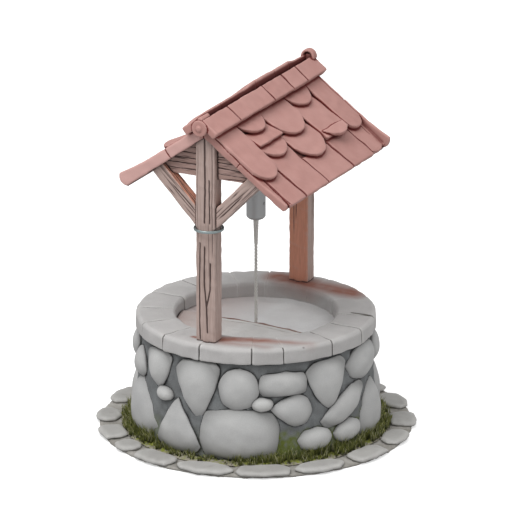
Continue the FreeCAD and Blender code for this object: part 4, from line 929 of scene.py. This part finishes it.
def slot_marks(points, out, *rest):
    """Dark joints on the right row, painted shade on the faces in the open slot of the ridge below its lit
    top, and the fuller left row, thickest towards the back.
    """
    inside = (np.abs(points[:, 0]) < SLOT_WALL) & (np.abs(out[:, 0]) > 0.45) & (points[:, 1] > SLOT_FRONT)
    up = np.clip(1.4 * (out @ LEFT_SLOPE) - 0.3, 0, 1) * (points[:, 0] < 0)
    thick = np.interp(points[:, 1], [-0.62, -0.52, -0.06, 0.0, 0.40, 0.47, 0.62],
                      [0.002, 0.013, 0.014, 0.024, 0.022, 0.012, 0.006])
    _, mark, none = open_joints(points, out, *rest)
    mark = mark * (points[:, 0] > 0) * (np.abs(points[:, 1]) < 0.55)
    return 0.003 * mark - up * thick, np.maximum(mark, inside * (points[:, 2] < SLOT_LIT)), none


def painted_front_light(points, out, *rest):
    """Painted light: the front faces of the left verge are made paler."""
    pale = np.clip(-out[:, 1], 0, 1) * (points[:, 0] < -0.02)
    return 0 * pale, 0 * pale, pale


TILE_NET = 0.004
for name, nodes, carve, puff in (
    ("field_tiles_right", ["field_tiles_right"], None, 0.0010),
    ("field_tiles_left", ["field_tiles_left"], None, 0.0010),
    ("eave_tiles", ["eave_tiles_right", "eave_tiles_left"], open_joints, 0.0010),
    ("verge_tiles", [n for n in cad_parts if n.startswith("verge_")], painted_front_light, 0.0014),
    ("ridge_tiles", ["ridge_tiles_left", "ridge_tiles_right"], slot_marks, 0.0010),
    ("ridge_ends", ["ridge_fittings"], None, 0.0012),
):
    weathered(name + "_terracotta", nodes, terracotta, "terracotta", TILE_NET, passes=4,
              dents=[(0.0014, 0.09)], carve=carve, puff=puff)

# Under the arched cap the far end of the slot is closed with a lump of bedding clay. It keeps no bulge
# values, so the finish darkens it fully, as painted shade.
SLOT_END, SLOT_FOOT, SLOT_TOP, SLOT_HALF = 0.590, 1.690, 1.786, 0.0175
points, faces = tube([(0, SLOT_END, z) for z in np.linspace(SLOT_FOOT, SLOT_TOP, 10)], SLOT_HALF, 16)
piece("slot_bedding", points, faces, terracotta, "well", "terracotta")


# %% [markdown]
# Two steels: the hoops round the posts are galvanised strap, and the swivel head is turned from bar, so
# fine rings run round it. Metal shows little but what it reflects, tinted by its own colour, and in a white
# tent that is mostly white. So its roughness, patchy and never quite even, does most of the work.

# %% Steel
def steel(name, colour, bright, ring=0.003, rough=0.42):
    """Bare steel: a brushed or turned surface with duller patches."""
    made, tree, shader = material(name)
    where = add(tree, "ShaderNodeTexCoord").outputs["Object"]
    dull = add(tree, "ShaderNodeTexNoise", {"Vector": where, "Scale": 1 / 0.02, "Detail": 4.0}).outputs[0]
    turned = add(tree, "ShaderNodeVectorMath", {0: where, 1: (0.02, 0.02, 1)}, operation="MULTIPLY")
    lines = add(tree, "ShaderNodeTexNoise", {"Vector": turned.outputs[0], "Scale": 1 / ring}).outputs[0]
    matt = add(tree, "ShaderNodeMapRange", {0: dull, 3: rough - 0.1, 4: rough + 0.15}).outputs[0]
    bump = add(tree, "ShaderNodeBump", {"Height": lines, "Strength": 0.25, "Distance": 0.0006}).outputs[0]
    feed(tree, shader, {"Base Color": layered(tree, colour, (dull, bright)), "Roughness": matt,
                        "Normal": bump, "Metallic": 1})
    return made


galvanised = steel("galvanised_strap_steel", "#8A9899", "#B0BCBD")
turned_steel = steel("turned_mild_steel", "#A6A6A7", "#B4B5B6", ring=0.0016, rough=0.5)
weathered("post_hoops", ["post_rings"], galvanised, "hoop_steel", size=0.0026, passes=7)
weathered("head_turned", ["swivel_head"], turned_steel, "head_steel", size=0.003, passes=3, body="swivel")
weathered("pin_turned", ["swivel_pin"], turned_steel, "head_steel", size=0.0016, passes=3, body="swivel")
finish_node("hanger_bolt", turned_steel)

# %% [markdown]
# Shade falls where little light reaches: under the tiles' lower ends, in joints and between stones, and the
# finishes paint it into the colour there. Blender has a node that finds such places while it renders. Here
# they are found once and kept with the points instead, so that they stay the same from every side: five
# short lines look outwards from each point. The more of them hit something near, the deeper the painted
# shade of the nook, and a hit within a centimetre or two makes it tight, for dark joints and painted contact
# shadow.

# %% Painted shade in nooks
NOOK_REACH, TIGHT_REACH, TILE_REACH = 0.05, 0.010, 0.016
SKIN = 0.0006  # how far off the surface a line starts
boards = [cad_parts[n] for n in ("roof_boards_left", "roof_boards_right")]
shaded_pieces = [o for o in bpy.data.objects if o.type == "MESH" and "wear" in o.data.attributes
         and o.name not in ("grass_blades", "head_turned", "pin_turned")]
points, faces = [], []
for made in shaded_pieces + boards:
    at = len(points)
    points += [v.co.copy() for v in made.data.vertices]
    faces += [[i + at for i in p.vertices] for p in made.data.polygons]
around = BVHTree.FromPolygons(points, faces)
looks = [(0, 0, 1)] + [(math.cos(a) * 0.8, math.sin(a) * 0.8, 0.6) for a in (0.3, 1.9, 3.4, 5.0)]
for made in shaded_pieces:
    count = len(made.data.vertices)
    out, start = np.empty(count * 3), np.empty(count * 3)
    made.data.vertices.foreach_get("normal", out)
    made.data.vertices.foreach_get("co", start)
    out = out.reshape(-1, 3)
    start = start.reshape(-1, 3) + SKIN * out
    side = np.cross(out, [0.35, 0.12, 0.93])
    side /= np.maximum(np.linalg.norm(side, axis=1), 1e-9)[:, None]
    other = np.cross(out, side)
    nook_shade, joint_dark_and_shade = np.zeros(count), np.zeros(count)
    reach = TILE_REACH if made.name.endswith("terracotta") else TIGHT_REACH
    for look in looks:
        aims = look[0] * side + look[1] * other + look[2] * out
        for i in range(count):
            away = around.ray_cast(start[i], aims[i], NOOK_REACH)[3]
            if away is not None:
                nook_shade[i] += (1 - away / NOOK_REACH) / len(looks)
                joint_dark_and_shade[i] = max(joint_dark_and_shade[i], 1 - away / reach)
    if made.name == "coping":
        filled = flush(start)
        nook_shade, joint_dark_and_shade = nook_shade * (1 - 0.5 * filled), joint_dark_and_shade * (1 - 0.9 * filled)
    if made.name == "ridge_ends_terracotta":
        nook_shade, joint_dark_and_shade = 0.5 * nook_shade, 0.3 * joint_dark_and_shade
    if made.name in ("turf_pad", "paving_grit"):
        nook_shade, joint_dark_and_shade = 0.4 * nook_shade, 0 * joint_dark_and_shade
    # Kept as painted shade: the nook value for shade in hollows, the tight one for dark joints and contact
    # shadow
    for label, given in (("nook_shade", nook_shade), ("joint_dark_and_shade", joint_dark_and_shade)):
        kept = made.data.attributes.new(label, "FLOAT", "POINT")
        kept.data.foreach_set("value", given)
print("nooks found on", len(shaded_pieces), "pieces,", len(points), "points")

# %% [markdown]
# The size of the dressed well is written down, and that of the solid model is kept beside it, so that the
# two can be compared.

# %% Sizes
cad, seen = ([list(corner) for corner in box] for box in (cad_box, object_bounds()))
print("visual box", [[round(x, 3) for x in corner] for corner in seen])
